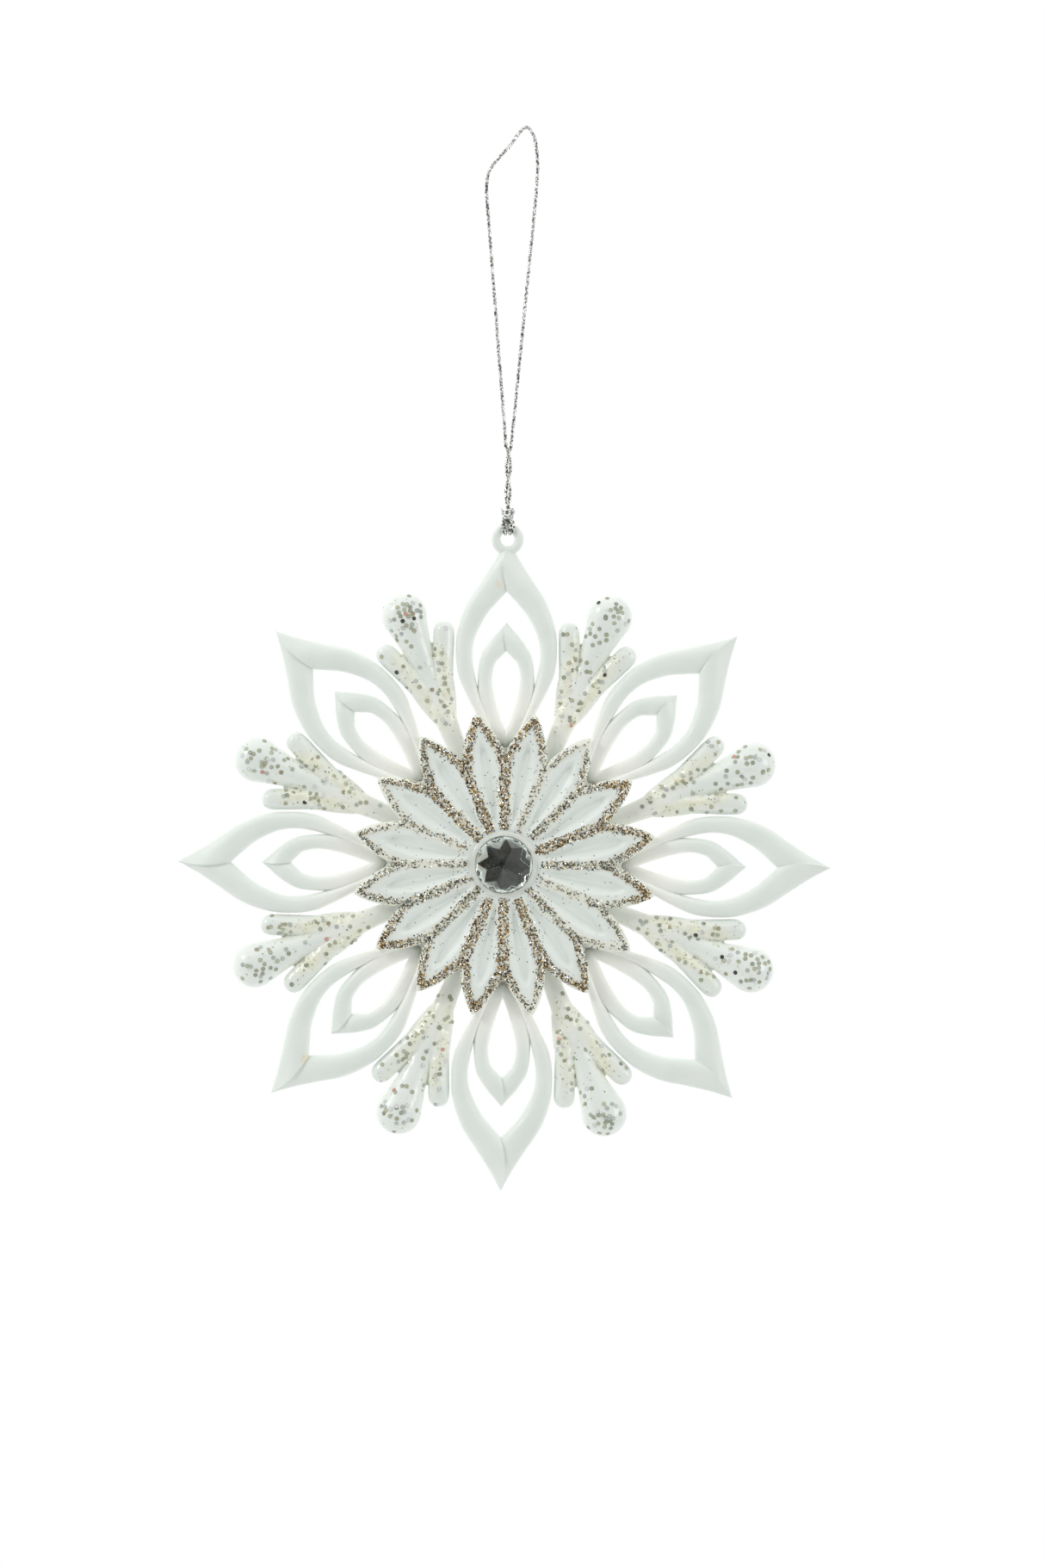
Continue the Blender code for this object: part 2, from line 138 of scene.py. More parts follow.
def smooth_path(points, count):
    """count points on a Catmull-Rom curve through points, even in the curve's parameter."""
    ends = [2 * points[0] - points[1], *points, 2 * points[-1] - points[-2]]
    spans = len(points) - 1
    path = []
    for step in range(count):
        where = step * spans / (count - 1)
        span = min(int(where), spans - 1)
        t = where - span
        before, start, end, after = ends[span : span + 4]
        slope = (end - before) * t
        bend = (2 * before - 5 * start + 4 * end - after) * t**2
        twist = (3 * start - before - 3 * end + after) * t**3
        path.append(0.5 * (2 * start + slope + bend + twist))
    return path


def even_path(points, step):
    """Points a step apart along the polyline through points."""
    path = [points[0].copy()]
    left = step
    for start, end in zip(points, points[1:]):
        length = (end - start).length
        done = 0.0
        while length - done >= left:
            done += left
            path.append(start.lerp(end, done / length))
            left = step
        left -= length - done
    path.append(points[-1].copy())
    return path


def interpolated(table, value):
    """Linear between the (where, what) rows of a table."""
    for (low, a), (high, b) in zip(table, table[1:]):
        if value <= high:
            return a + (b - a) * max(0.0, value - low) / (high - low)
    return table[-1][1]


def around(side, up, angle, size):
    """A way of a size from a line, at an angle from side towards up."""
    return side * (cos(angle) * size) + up * (sin(angle) * size)


def angles(count, turn=0.0):
    """As many even steps round a circle."""
    return [tau * k / count + turn for k in range(count)]


def circle(bm, count, radius, y, turn=0.0):
    """A ring of points about the Y axis, or one point where the radius is none."""
    if not radius:
        return [bm.verts.new((0.0, y, 0.0))]
    return [bm.verts.new((radius * sin(a), y, radius * cos(a))) for a in angles(count, turn)]


def bridge(bm, ring, following):
    """Faces between two rings of as many points, or between a ring and a single point."""
    count = max(len(ring), len(following))
    for side in range(count):
        up = (side + 1) % count
        near = ring[side % len(ring)], ring[up % len(ring)]
        far = following[up % len(following)], following[side % len(following)]
        bm.faces.new(tuple(dict.fromkeys(near + far)))


def skin(bm, rings, closed=False):
    """Faces along a row of rings, with a face over each end unless the row is closed."""
    if closed:
        rings = [*rings, rings[0]]
    elif len(rings[0]) > 2:
        bm.faces.new(rings[0])
    for ring, following in zip(rings, rings[1:]):
        bridge(bm, ring, following)
    if not closed and len(rings[-1]) > 2:
        bm.faces.new(rings[-1])


def in_frame(turn=0.0, centre=CENTRE):
    """From millimetres about the ornament's centre to the frame, turned about Y."""
    return Matrix.Translation(centre) @ Matrix.Rotation(turn, 4, "Y") @ Matrix.Scale(MM, 4)


def linked(name, data):
    """A new object in the scene."""
    obj = bpy.data.objects.new(name, data)
    bpy.context.scene.collection.objects.link(obj)
    return obj


def to_mesh(name, bm, place=None, sharp=None):
    """A mesh from bm, placed, with its faces pointing out and smooth up to an angle."""
    bmesh.ops.recalc_face_normals(bm, faces=bm.faces)
    mesh = bpy.data.meshes.new(name)
    bm.to_mesh(mesh)
    bm.free()
    if place is not None:
        mesh.transform(place)
    if sharp != 0:
        mesh.shade_smooth()
    if sharp:
        mesh.set_sharp_from_angle(angle=radians(sharp))
    return mesh


def add_piece(
    name, shape, material, slot, place=None, sharp=None, nodes=None, body="snowflake", **values
):
    """A piece of the object from a bmesh, or from a mesh that is in its place already.

    It replaces the node of its own name unless nodes says otherwise. body None leaves it without
    a body. values are numbers for each of its points.
    """
    mesh = shape if isinstance(shape, bpy.types.Mesh) else to_mesh(name, shape, place, sharp)
    for label, numbers in values.items():
        mesh.attributes.new(label, "FLOAT", "POINT").data.foreach_set("value", numbers)
    mesh.materials.clear()
    mesh.materials.append(material)
    obj = linked(name, mesh)
    if body:
        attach(obj, body)
    nodes = (name,) if nodes is None else nodes
    if nodes:
        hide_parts(*nodes)
    return obj


def remeshed(name, bm, voxel, smoothing):
    """The single skin around everything in bm, smoothed."""
    mesh = to_mesh(name, bm)
    obj = linked(name, mesh)
    cover = obj.modifiers.new("cover", "REMESH")
    cover.mode = "VOXEL"
    cover.voxel_size = voxel
    relax = obj.modifiers.new("relax", "SMOOTH")
    relax.factor = 0.5
    relax.iterations = smoothing
    graph = bpy.context.evaluated_depsgraph_get()
    result = bpy.data.meshes.new_from_object(obj.evaluated_get(graph))
    result.name = name
    bpy.data.objects.remove(obj, do_unlink=True)
    bpy.data.meshes.remove(mesh)
    return result


def oval(angle, power):
    """A point of a rounded rectangle: power 1 is an ellipse, and less is squarer."""
    c, s = cos(angle), sin(angle)
    return copysign(abs(c) ** power, c), copysign(abs(s) ** power, s)


# -------- camera and light


def camera():
    """Straight in front, with the small roll that the ornament hangs at."""
    roll = radians(0.62)
    right = Vector((cos(roll), 0.0, sin(roll)))
    up = Vector((-sin(roll), 0.0, cos(roll)))
    back = Vector((0.0, -1.0, 0.0))
    distance = 1.3
    view_height = 0.3119
    aim = CENTRE + 0.00368 * right + 0.0160 * up
    data = bpy.data.cameras.new("camera")
    data.sensor_width = 36.0
    data.lens = data.sensor_width * distance / view_height
    data.clip_start = 0.05
    data.clip_end = 50.0
    obj = linked("camera", data)
    turn = Matrix((right, up, back)).transposed()
    obj.matrix_world = Matrix.Translation(aim + distance * back) @ turn.to_4x4()
    bpy.context.scene.camera = obj


def set_inputs(node, **values):
    """Sets or feeds a node's inputs by name, and its settings where no input has the name."""
    for key, value in values.items():
        label = key.replace("_", " ")
        if hasattr(node, key):
            setattr(node, key, value)
        elif isinstance(value, bpy.types.NodeSocket):
            node.id_data.links.new(value, node.inputs[label])
        else:
            node.inputs[label].default_value = value
    return node


def new_node(near, kind, **values):
    """A shader node in a tree, or in the tree of another node's socket."""
    return set_inputs(near.id_data.nodes.new("ShaderNode" + kind), **values)


def towards(tree, direction):
    """How far a part of the sky lies in a direction, from -1 to 1."""
    where = new_node(tree, "TexCoord").outputs["Generated"]
    node = new_node(tree, "VectorMath", operation="DOT_PRODUCT", Vector=where)
    node.inputs[1].default_value = Vector(direction).normalized()
    return node.outputs["Value"]


def light_tent():
    """White behind and above, soft lights at the sides, and the dark room in front."""
    world = bpy.data.worlds.new("light_tent")
    bpy.context.scene.world = world
    world.use_nodes = True
    tree = world.node_tree
    depth = ranged(towards(tree, (0.12, 1.0, -0.03)), -1.0, 1.0)
    room = new_node(tree, "ValToRGB", Fac=depth)
    room.color_ramp.interpolation = "EASE"
    ramp = room.color_ramp.elements
    ramp[0].position, ramp[0].color = 0.062, (0.022, 0.02, 0.017, 1.0)
    ramp[1].color = (1.15, 1.15, 1.15, 1.0)
    for position, level in ((0.14, 0.98), (0.5, 0.96), (0.7, 1.0)):
        ramp.new(position).color = (level, level, level, 1.0)
    glow = ranged(towards(tree, (-0.55, -0.25, 0.80)), -0.8, 1.0, 0.74, 1.215)
    colour = room.outputs["Color"]
    lit = new_node(tree, "VectorMath", operation="SCALE", Vector=colour, Scale=glow)
    seen = new_node(tree, "LightPath").outputs["Is Camera Ray"]
    colour = mixed(seen, lit.outputs[0], (1.0, 1.0, 1.0))
    set_inputs(tree.nodes["Background"], Color=colour)
    bpy.context.scene.view_settings.view_transform = "Standard"


def softbox(name, place, size, power):
    data = bpy.data.lights.new(name, "AREA")
    data.size = size
    data.energy = power
    obj = linked(name, data)
    obj.location = place
    aim = CENTRE - Vector(place)
    obj.rotation_euler = aim.to_track_quat("-Z", "Y").to_euler()


def floor():
    """A whitish round floor far below the ornament."""
    bm = bmesh.new()
    bmesh.ops.create_circle(bm, cap_ends=True, segments=96, radius=1.7)
    mesh = to_mesh("floor", bm, Matrix.Translation((0.0, 0.0, -1.5)))
    material, shader, _ = start_material("pale_floor")
    mottle = new_node(shader, "TexNoise", Scale=3.0, Detail=4.0)
    colour = mixed(mottle.outputs["Fac"], (0.86, 0.87, 0.87), (0.92, 0.92, 0.92))
    set_inputs(shader, Base_Color=colour, Roughness=0.9, Specular_IOR_Level=0.1)
    mesh.materials.append(material)
    linked("floor", mesh)


# -------- materials


def start_material(name):
    """A new material, its shader, and the place on the object as textures take it."""
    material = bpy.data.materials.new(name)
    material.use_nodes = True
    tree = material.node_tree
    where = new_node(tree, "TexCoord")
    return material, tree.nodes["Principled BSDF"], where.outputs["Object"]


def fractal(where, scale, detail=3.0):
    texture = new_node(where, "TexNoise", Vector=where, Scale=scale, Detail=detail)
    return texture.outputs["Fac"]


def mixed(factor, first, second):
    """A colour between two, each a colour or another node's output."""
    mix = new_node(factor, "Mix", data_type="RGBA", Factor=factor)
    for socket, colour in ((mix.inputs[6], first), (mix.inputs[7], second)):
        if isinstance(colour, tuple):
            socket.default_value = (*colour, 1.0)
        else:
            mix.id_data.links.new(colour, socket)
    return mix.outputs[2]


def ranged(value, low, high, to_low=0.0, to_high=1.0):
    """A value from low to high, stretched to another range and held inside it."""
    node = new_node(value, "MapRange", Value=value, From_Min=low, From_Max=high)
    return set_inputs(node, To_Min=to_low, To_Max=to_high).outputs[0]


def bumped(height, distance, strength=1.0):
    """The normal of a surface with a height."""
    bump = new_node(height, "Bump", Height=height, Distance=distance)
    return set_inputs(bump, Strength=strength).outputs["Normal"]


# Painted light: the lighter colour that petals and stems get at their roots, standing in for
# light that comes through the plastic and lifting the shade under the rosette.
PAINTED_GLOW_COLOUR = (0.985, 0.99, 0.93)


def paleness(distance):
    """How much painted light a petal or a stem gets at a distance from the centre, most at its
    root: a lighter colour for light through the plastic.
    """
    return 1.0 - smoothstep(28.0, 42.0, distance)


def moulded(name, dull, bright, stain, rough=(0.30, 0.42), coat=0.0):
    """Moulded plastic. "stain" says where it is yellowed; the other attribute is painted light,
    a lighter colour where light comes through the plastic.
    """
    material, shader, where = start_material(name)
    colour = mixed(ranged(fractal(where, 160.0, 4.0), 0.35, 0.65), dull, bright)
    # The first attribute lightens the roots with painted light; the stain yellows the plastic.
    for label, tint in (("pale", PAINTED_GLOW_COLOUR), ("stain", stain)):
        marks = new_node(where, "Attribute", attribute_name=label)
        colour = mixed(marks.outputs["Fac"], colour, tint)
    polish = ranged(fractal(where, 900.0), 0.3, 0.7, *rough)
    grain = bumped(fractal(where, 1400.0, 2.0), 0.00002, 0.5)
    set_inputs(shader, Base_Color=colour, Roughness=polish, IOR=1.46, Normal=grain)
    set_inputs(shader, Coat_Weight=coat, Coat_Roughness=0.05)
    return material


def glitter_material(name, roughness, metallic):
    """Metallised film. The mesh's "tint" holds each flake's colour."""
    material, shader, where = start_material(name)
    tint = new_node(where, "VertexColor", layer_name="tint").outputs["Color"]
    wear = ranged(fractal(where, 5000.0, 1.0), 0.3, 0.7)
    dimmed = new_node(where, "HueSaturation", Value=0.8, Color=tint)
    colour = mixed(wear, dimmed.outputs["Color"], tint)
    polish = ranged(wear, 0.0, 1.0, roughness, roughness + 0.15)
    set_inputs(shader, Base_Color=colour, Metallic=metallic, Roughness=polish)
    return material


def thread_material():
    """Flat metallic tape spun round a core; its small bright and dark patches are painted glints
    and dark reflections in the base colour.
    """
    material, shader, where = start_material("silver_thread")
    cells = new_node(where, "TexVoronoi", Vector=where, Scale=3300.0, Randomness=1.0)
    bright = ranged(cells.outputs["Color"], 0.2, 0.8)
    # Painted glints: the ramp paints bright and dark patches into the base colour, for the
    # tape's glints and dark reflections.
    painted_glints = new_node(where, "ValToRGB", Fac=bright)
    ramp = painted_glints.color_ramp.elements
    ramp[0].color = (0.06, 0.07, 0.06, 1.0)
    ramp[1].color = (0.97, 0.98, 0.96, 1.0)
    ramp.new(0.25).color = (0.28, 0.29, 0.26, 1.0)
    ramp.new(0.5).color = (0.68, 0.70, 0.66, 1.0)
    edge = cells.outputs["Distance"]
    polish = ranged(edge, 0.0, 0.8, 0.18, 0.45)
    set_inputs(shader, Base_Color=painted_glints.outputs["Color"], Metallic=0.75, Roughness=polish)
    set_inputs(shader, Normal=bumped(edge, 0.00006))
    return material


def gem_material():
    """Clear acrylic, with faint scratches in its polish."""
    material, shader, where = start_material("faceted_stone")
    polish = ranged(fractal(where, 2500.0), 0.6, 0.85, 0.0, 0.03)
    colour = (0.93, 0.97, 0.95, 1.0)
    set_inputs(shader, Base_Color=colour, Transmission_Weight=1.0, IOR=1.53, Roughness=polish)
    return material


def foil_material():
    """The mirror coat behind the stone, with a little tarnish."""
    material, shader, where = start_material("stone_foil")
    tarnish = ranged(fractal(where, 500.0, 4.0), 0.4, 0.7)
    colour = mixed(tarnish, (0.80, 0.84, 0.82), (0.58, 0.55, 0.48))
    polish = ranged(tarnish, 0.0, 1.0, 0.0, 0.05)
    set_inputs(shader, Base_Color=colour, Metallic=1.0, Roughness=polish)
    return material


def glue_material():
    """Set clear glue, yellowish and glossy."""
    material, shader, where = start_material("clear_glue")
    clouds = ranged(fractal(where, 300.0), 0.3, 0.7)
    colour = mixed(clouds, (0.84, 0.89, 0.83), (0.83, 0.86, 0.78))
    ripples = bumped(fractal(where, 700.0), 0.00006)
    depth = (1.0, 0.95, 0.8)
    set_inputs(shader, Base_Color=colour, Roughness=0.12, Normal=ripples)
    set_inputs(shader, Subsurface_Weight=0.2, Subsurface_Radius=depth, Subsurface_Scale=0.001)
    return material


# -------- thread

THREAD_LOBES = 3
THREAD_SIDES = 12
THREAD_STEP = 0.16
THREAD_PITCH = 2.55
# Where the two strands start to wind round each other, how far from their middle each of
# them runs, and how much they turn in a millimetre.
PAIR_TOP = NECK_DROP - 0.3
PAIR_RADIUS = 0.41
PAIR_TURN = radians(34.6)


def twisted_tube(bm, points, fray=0.0):
    """A three-ply thread along points, all in millimetres. Its ends are closed."""
    path = even_path(points, THREAD_STEP)
    tangent = (path[1] - path[0]).normalized()
    side = tangent.orthogonal().normalized()
    rings = []
    for index, spot in enumerate(path):
        ahead = path[min(index + 1, len(path) - 1)]
        behind = path[max(index - 1, 0)]
        way = (ahead - behind).normalized()
        side = tangent.rotation_difference(way) @ side
        tangent = way
        up = tangent.cross(side)
        along = index * THREAD_STEP
        twist = tau * along / THREAD_PITCH
        thin = 1.0 - fray * index / len(path)
        ring = []
        for corner, angle in enumerate(angles(THREAD_SIDES)):
            lobe = 0.86 + 0.14 * cos(THREAD_LOBES * (angle - twist))
            rough = 1.0 + 0.10 * noise.noise(spot * 2.3 + Vector((corner * 0.7, 0.0, 0.0)))
            size = THREAD / 2 * lobe * rough * thin
            ring.append(bm.verts.new(spot + around(side, up, angle, size)))
        rings.append(ring)
    skin(bm, rings)


def strand_point(side, drop):
    """Where the left (-1) or right (1) strand is, at a drop below the loop's top."""
    share = (drop - SWING_DROP) / (NECK_DROP - SWING_DROP)
    spread = 1.0 - (1.0 - NECK_SHARE) * share
    return Vector((side * SPREAD_X * spread, side * SPREAD_Y * spread, -drop))


def thread_piece(name, bm, material, *nodes, body=None):
    place = Matrix.Scale(MM, 4)
    return add_piece(name, bm, material, "silver_thread", place, nodes=nodes, body=body)


def thread_loop(material):
    """The free thread: up one strand, over the branch and down the other."""
    length = PAIR_TOP - SWING_DROP - 0.15
    drops = [SWING_DROP + 0.15 + length * k / 8 for k in range(1, 9)]
    points = [strand_point(-1, drop) for drop in reversed(drops)]
    points += [Vector(point) / MM for point in SADDLE]
    points += [strand_point(1, drop) for drop in drops]
    path = smooth_path(points, 400)
    bm = bmesh.new()
    twisted_tube(bm, path)
    nodes = ("thread_over_branch", "thread_strand_left", "thread_strand_right")
    obj = thread_piece("thread_loop", bm, material, *nodes)
    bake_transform(obj)
    return obj, [point * MM for point in path[::3]]


def pair_point(side, drop):
    """One of the two strands below the neck, where they wind round each other."""
    neck = strand_point(side, PAIR_TOP)
    below = drop - PAIR_TOP
    extra = hypot(neck.x, neck.y) - PAIR_RADIUS
    radius = PAIR_RADIUS + extra * (1.0 - smoothstep(0.0, 1.6, below))
    angle = atan2(neck.y, neck.x) + PAIR_TURN * below
    return Vector((radius * cos(angle), radius * sin(angle), -drop))


def twisted_pair(material):
    bm = bmesh.new()
    length = TILT_DROP + 0.3 - PAIR_TOP
    for side in (-1, 1):
        twisted_tube(bm, [pair_point(side, PAIR_TOP + length * k / 60) for k in range(61)])
    obj = thread_piece("twisted_pair", bm, material, "twisted_strands")
    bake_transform(obj)
    return obj


# The knot's strands, from where the thread bends: those that cross over its turns, and
# its two cut ends.
CROSSING = (
    ((-0.80, -0.75, -2.9), (-0.55, -1.15, -2.0), (0.15, -1.12, -1.2), (0.70, -0.55, -0.4)),
    ((0.85, -0.70, -3.1), (0.60, -1.12, -2.3), (-0.10, -1.22, -1.5), (-0.75, -0.70, -0.7)),
    ((-0.55, -1.05, -4.5), (-0.85, -1.12, -3.6), (-0.70, -0.95, -2.5), (-0.2, -0.6, -1.6)),
    ((0.70, -1.05, -4.4), (0.92, -1.05, -3.5), (0.80, -0.85, -2.5), (0.3, -0.6, -1.6)),
)
CROSSING_SCALE = (1.25, 1.15, 1.1)
CUT_ENDS = (
    ((-0.3, -0.6, -1.2), (-0.85, -0.8, -0.8), (-1.2, -0.8, -0.3)),
    ((0.4, -0.5, -1.5), (0.9, -0.7, -1.2), (1.25, -0.7, -0.8)),
)


def tie(material):
    """The knot: a bight round the ring, turns about its neck and two frayed ends."""
    bm = bmesh.new()
    bar = CENTRE.z / MM + EYELET.z + EYELET_RING
    ring_hug = EYELET_WIRE + THREAD / 2 + 0.06
    for side, lean in ((-1, 0.10), (1, -0.06)):
        bight = []
        for step in range(41):
            angle = tau * step / 40
            high = max(0.0, cos(angle))
            x = side * (0.44 - 0.16 * high) + lean * sin(angle)
            y = ring_hug * (1.0 - 0.35 * high) * sin(angle)
            bight.append(Vector((x, y, bar + ring_hug * cos(angle) + 1.1 * high**2)))
        twisted_tube(bm, bight)
    top = Vector((0.0, 0.0, -TILT_DROP - 0.2))
    turns = 2.6
    wrap = []
    for step in range(121):
        t = step / 120
        angle = tau * turns * t + 0.6
        radius = 0.95 + 0.16 * sin(5.0 * angle * 0.37)
        z = -0.3 - 2.3 * t + 0.36 * cos(angle + 0.4)
        wrap.append(top + Vector((radius * cos(angle), radius * sin(angle), z)))
    twisted_tube(bm, wrap)
    for row in CROSSING:
        points = [top + Vector(spot) * Vector(CROSSING_SCALE) for spot in row]
        twisted_tube(bm, smooth_path(points, 24))
    for row in CUT_ENDS:
        points = [top + Vector(spot) for spot in row]
        twisted_tube(bm, smooth_path(points, 12), fray=0.45)
        hairs(bm, points[-1], points[-1] - points[-2])
    return thread_piece("knot", bm, material, "thread_knot", body="knot")


def hairs(bm, root, direction):
    """A few loose filaments that spread from a cut end of the thread."""
    draw = random.Random(int(1000 * (root.x + 5)))
    for _ in range(6):
        spread = Vector([draw.uniform(-1.0, 1.0) for _ in range(3)])
        way = (direction.normalized() + 0.9 * spread).normalized()
        tip = root + way * draw.uniform(0.25, 0.5)
        points = [root - 0.2 * direction, root.lerp(tip, 0.5) + 0.05 * spread, tip]
        side = way.orthogonal().normalized()
        up = way.cross(side)
        rings = []
        for index, spot in enumerate(smooth_path(points, 6)):
            size = 0.07 * (1.0 - 0.12 * index)
            spots = [spot + around(side, up, angle, size) for angle in (0.0, 2.09, 4.19)]
            rings.append([bm.verts.new(spot) for spot in spots])
        skin(bm, rings)


# -------- petals

# A loop's inner and outer edge, as (half-width, distance from the ornament's centre). The
# inner loop's root runs into the outer loop's strands, where the CAD keeps a gap.
OUTER_LOOP = (
    ((0.0, 23.6), (0.0, 12.0)),
    ((0.6, 24.1), (2.5, 15.5)),
    ((1.7, 25.9), (3.6, 22.5)),
    ((3.3, 29.0), (5.2, 28.3)),
    ((5.0, 33.3), (7.7, 33.4)),
    ((6.2, 37.6), (9.5, 37.6)),
    ((6.75, 41.5), (10.05, 42.0)),
    ((6.2, 45.2), (9.7, 47.0)),
    ((4.15, 49.4), (7.9, 52.2)),
    ((2.05, 52.0), (4.9, 56.8)),
    ((0.75, 53.45), (2.2, 61.0)),
    ((0.0, 54.3), (0.0, TIP)),
)
INNER_LOOP = (
    ((0.0, 26.5), (0.0, 23.4)),
    ((0.55, 28.0), (2.9, 25.0)),
    ((1.3, 30.2), (4.4, 28.7)),
    ((2.25, 33.6), (5.5, 33.0)),
    ((2.75, 37.0), (5.6, 37.0)),
    ((2.2, 39.9), (5.1, 41.2)),
    ((1.1, 41.25), (3.2, 44.5)),
    ((0.4, 42.0), (1.2, 46.8)),
    ((0.0, 42.4), (0.0, 48.2)),
)
SECTION_POWER = 0.78
SECTION_SIDES = 28


def loop_ring(bm, side, inner, outer, at, thickness, seam, sink):
    """One section of a loop. at runs from 0 at its root to 1 at its tip."""
    near_tip = smoothstep(0.72, 1.0, at)
    ring = []
    for angle in angles(SECTION_SIDES):
        across, deep = oval(angle, SECTION_POWER)
        t = (across + 1) / 2
        x = side * (inner.x + (outer.x - inner.x) * t)
        z = inner.y + (outer.y - inner.y) * t
        x -= seam * near_tip * sin(pi * t)
        taper = 1.0 - 0.5 * near_tip * smoothstep(0.45, 1.0, t)
        y = deep * thickness / 2 * taper * (1.0 - sink * near_tip)
        ring.append(bm.verts.new((x, y, z)))
    return ring


def stained(spot, stain):
    """How yellow a petal is at a spot, round a stain given as (x, z, size)."""
    if not stain:
        return 0.0
    x, z, size = stain
    away = hypot(spot.x - x, spot.z - z) / size
    ragged = 0.35 * noise.noise(spot * 1.6)
    return (1.0 - smoothstep(0.5, 1.2, away + ragged)) * (spot.y < 0.6)


def loop_piece(name, number, edges, thickness, stations, seam, material, stain=None, top=None):
    """A petal loop. Its right strand lies over its left one where they cross at the tip."""
    inner = smooth_path([Vector(pair[0]) for pair in edges], stations)
    outer = smooth_path([Vector(pair[1]) for pair in edges], stations)
    bm = bmesh.new()
    rings = []
    last = stations - 1
    for side, steps, sink in ((1, range(stations), 0.0), (-1, range(last, 0, -1), 0.24)):
        for step in steps:
            at = step / last
            ring = loop_ring(bm, side, inner[step], outer[step], at, thickness, seam, sink)
            rings.append(ring)
    skin(bm, rings, closed=True)
    seed = Vector((number * 7.3, thickness, 0.0))
    for vertex in bm.verts:
        spot = vertex.co
        flat = Vector((spot.x, spot.z, 0.0))
        spot.y += 0.07 * noise.noise(flat * 0.16 + seed)
        spot.x += 0.05 * noise.noise(flat * 0.11 - seed)
        if top and spot.z > top:
            spot.z = top + 0.12 * (spot.z - top)
    marks = [stained(vertex.co, stain) for vertex in bm.verts]
    # Painted light: a lighter colour towards the root, for light coming through the plastic.
    pales = [paleness(hypot(vertex.co.x, vertex.co.z)) for vertex in bm.verts]
    place = in_frame(tau * (number - 1) / PETALS)
    name = f"{name}_{number}"
    add_piece(name, bm, material, "white_plastic", place, 38, stain=marks, pale=pales)


def petals(material):
    """The petals, clockwise from the top one. Its point is flattened into the eyelet's foot."""
    stains = {1: (-1.8, 55.7, 0.75), 6: (0.2, 55.2, 0.9)}
    tops = {1: EYELET.z - EYELET_RING - 0.2}
    outer = (OUTER_LOOP, PETAL_THICKNESS, 96, 0.75, material)
    inner = (INNER_LOOP, INNER_THICKNESS, 64, 0.3, material)
    for number in range(1, PETALS + 1):
        extras = stains.get(number), tops.get(number)
        loop_piece("outer_petal", number, *outer, *extras)
        loop_piece("inner_petal", number, *inner)


def eyelet(material):
    """The ring on the top petal's point, with a foot that runs into the petal."""
    bm = bmesh.new()
    rings = []
    for turn in angles(48):
        ring = []
        for angle in angles(16):
            across, deep = oval(angle, 0.9)
            radius = 1.05 * EYELET_RING + (EYELET_WIRE + SKIN_LOSS) * across
            out = (1.1 * EYELET_WIRE + SKIN_LOSS) * deep
            ring.append(bm.verts.new((radius * sin(turn), out, radius * cos(turn))))
        rings.append(ring)
    skin(bm, rings, closed=True)
    foot = ((-2.15, 1.25, 0.70), (-3.0, 1.45, 0.95), (-4.2, 1.95, 1.35), (-5.6, 2.5, 1.75))
    section = [oval(angle, 0.85) for angle in angles(20)]
    rings = []
    for height, wide, deep in foot:
        rings.append([bm.verts.new((wide * x, deep * y, height)) for x, y in section])
    skin(bm, rings)
    mesh = remeshed("eyelet", bm, 0.13, 6)
    mesh.transform(in_frame(centre=CENTRE + EYELET * MM))
    mesh.shade_smooth()
    add_piece("eyelet", mesh, material, "white_plastic")


# -------- icicle drops

# Profiles as (radius, height), from the round end down. The middle drop's heights are from
# the ornament's centre, and the others' from where they stand.
CENTRE_DROP = (
    *((0.0, 58.0), (2.1, 57.4), (3.9, 55.8), (4.55, 53.4), (3.95, 50.6), (2.8, 46.0)),
    *((1.95, 41.0), (2.25, 33.0), (1.95, 26.5), (1.2, 14.0), (0.0, 13.5)),
)
SIDE_DROP = (
    *((0.0, 2.7), (1.15, 2.35), (1.92, 1.3), (2.12, -0.5)),
    *((2.0, -6.0), (1.85, -12.0), (0.0, -17.0)),
)
SIDE_DROP_PLACE = (5.95, 47.0)
WEB_DROP = ((0.0, 5.6), (0.9, 5.2), (1.5, 3.0), (1.7, 0.0), (1.2, -5.0), (0.0, -9.0))
WEB_PLACE = (2.6, 37.2)
DROP_STATIONS = 44
DROP_SIDES = 28


def drop(bm, profile, x, z, lean, flatness):
    """A drop turned from a profile, flattened, leaning sideways from where it stands."""
    place = Matrix.Translation((x, 0.0, z)) @ Matrix.Rotation(lean, 4, "Y")
    points = smooth_path([Vector(row) for row in profile], DROP_STATIONS)
    top = bm.verts.new(place @ Vector((0.0, 0.0, points[0].y)))
    end = bm.verts.new(place @ Vector((0.0, 0.0, points[-1].y)))
    rings = []
    for point in points[1:-1]:
        ring = []
        radius = abs(point.x)
        for angle in angles(DROP_SIDES):
            spot = Vector((radius * cos(angle), flatness * radius * sin(angle), point.y))
            ring.append(bm.verts.new(place @ spot))
        rings.append(ring)
    skin(bm, [[top], *rings, [end]])


def trio_skin():
    """Three drops on one stem with glue webs in their crotches, as one skin."""
    bm = bmesh.new()
    drop(bm, CENTRE_DROP, 0.0, 0.0, 0.0, DROP_FLATNESS)
    for side in (-1, 1):
        x, z = SIDE_DROP_PLACE
        drop(bm, SIDE_DROP, side * x, z, side * pi / PETALS, DROP_FLATNESS)
        x, z = WEB_PLACE
        drop(bm, WEB_DROP, side * x, z, side * pi / PETALS / 2, 0.62)
    return remeshed("trio", bm, 0.27, 5)


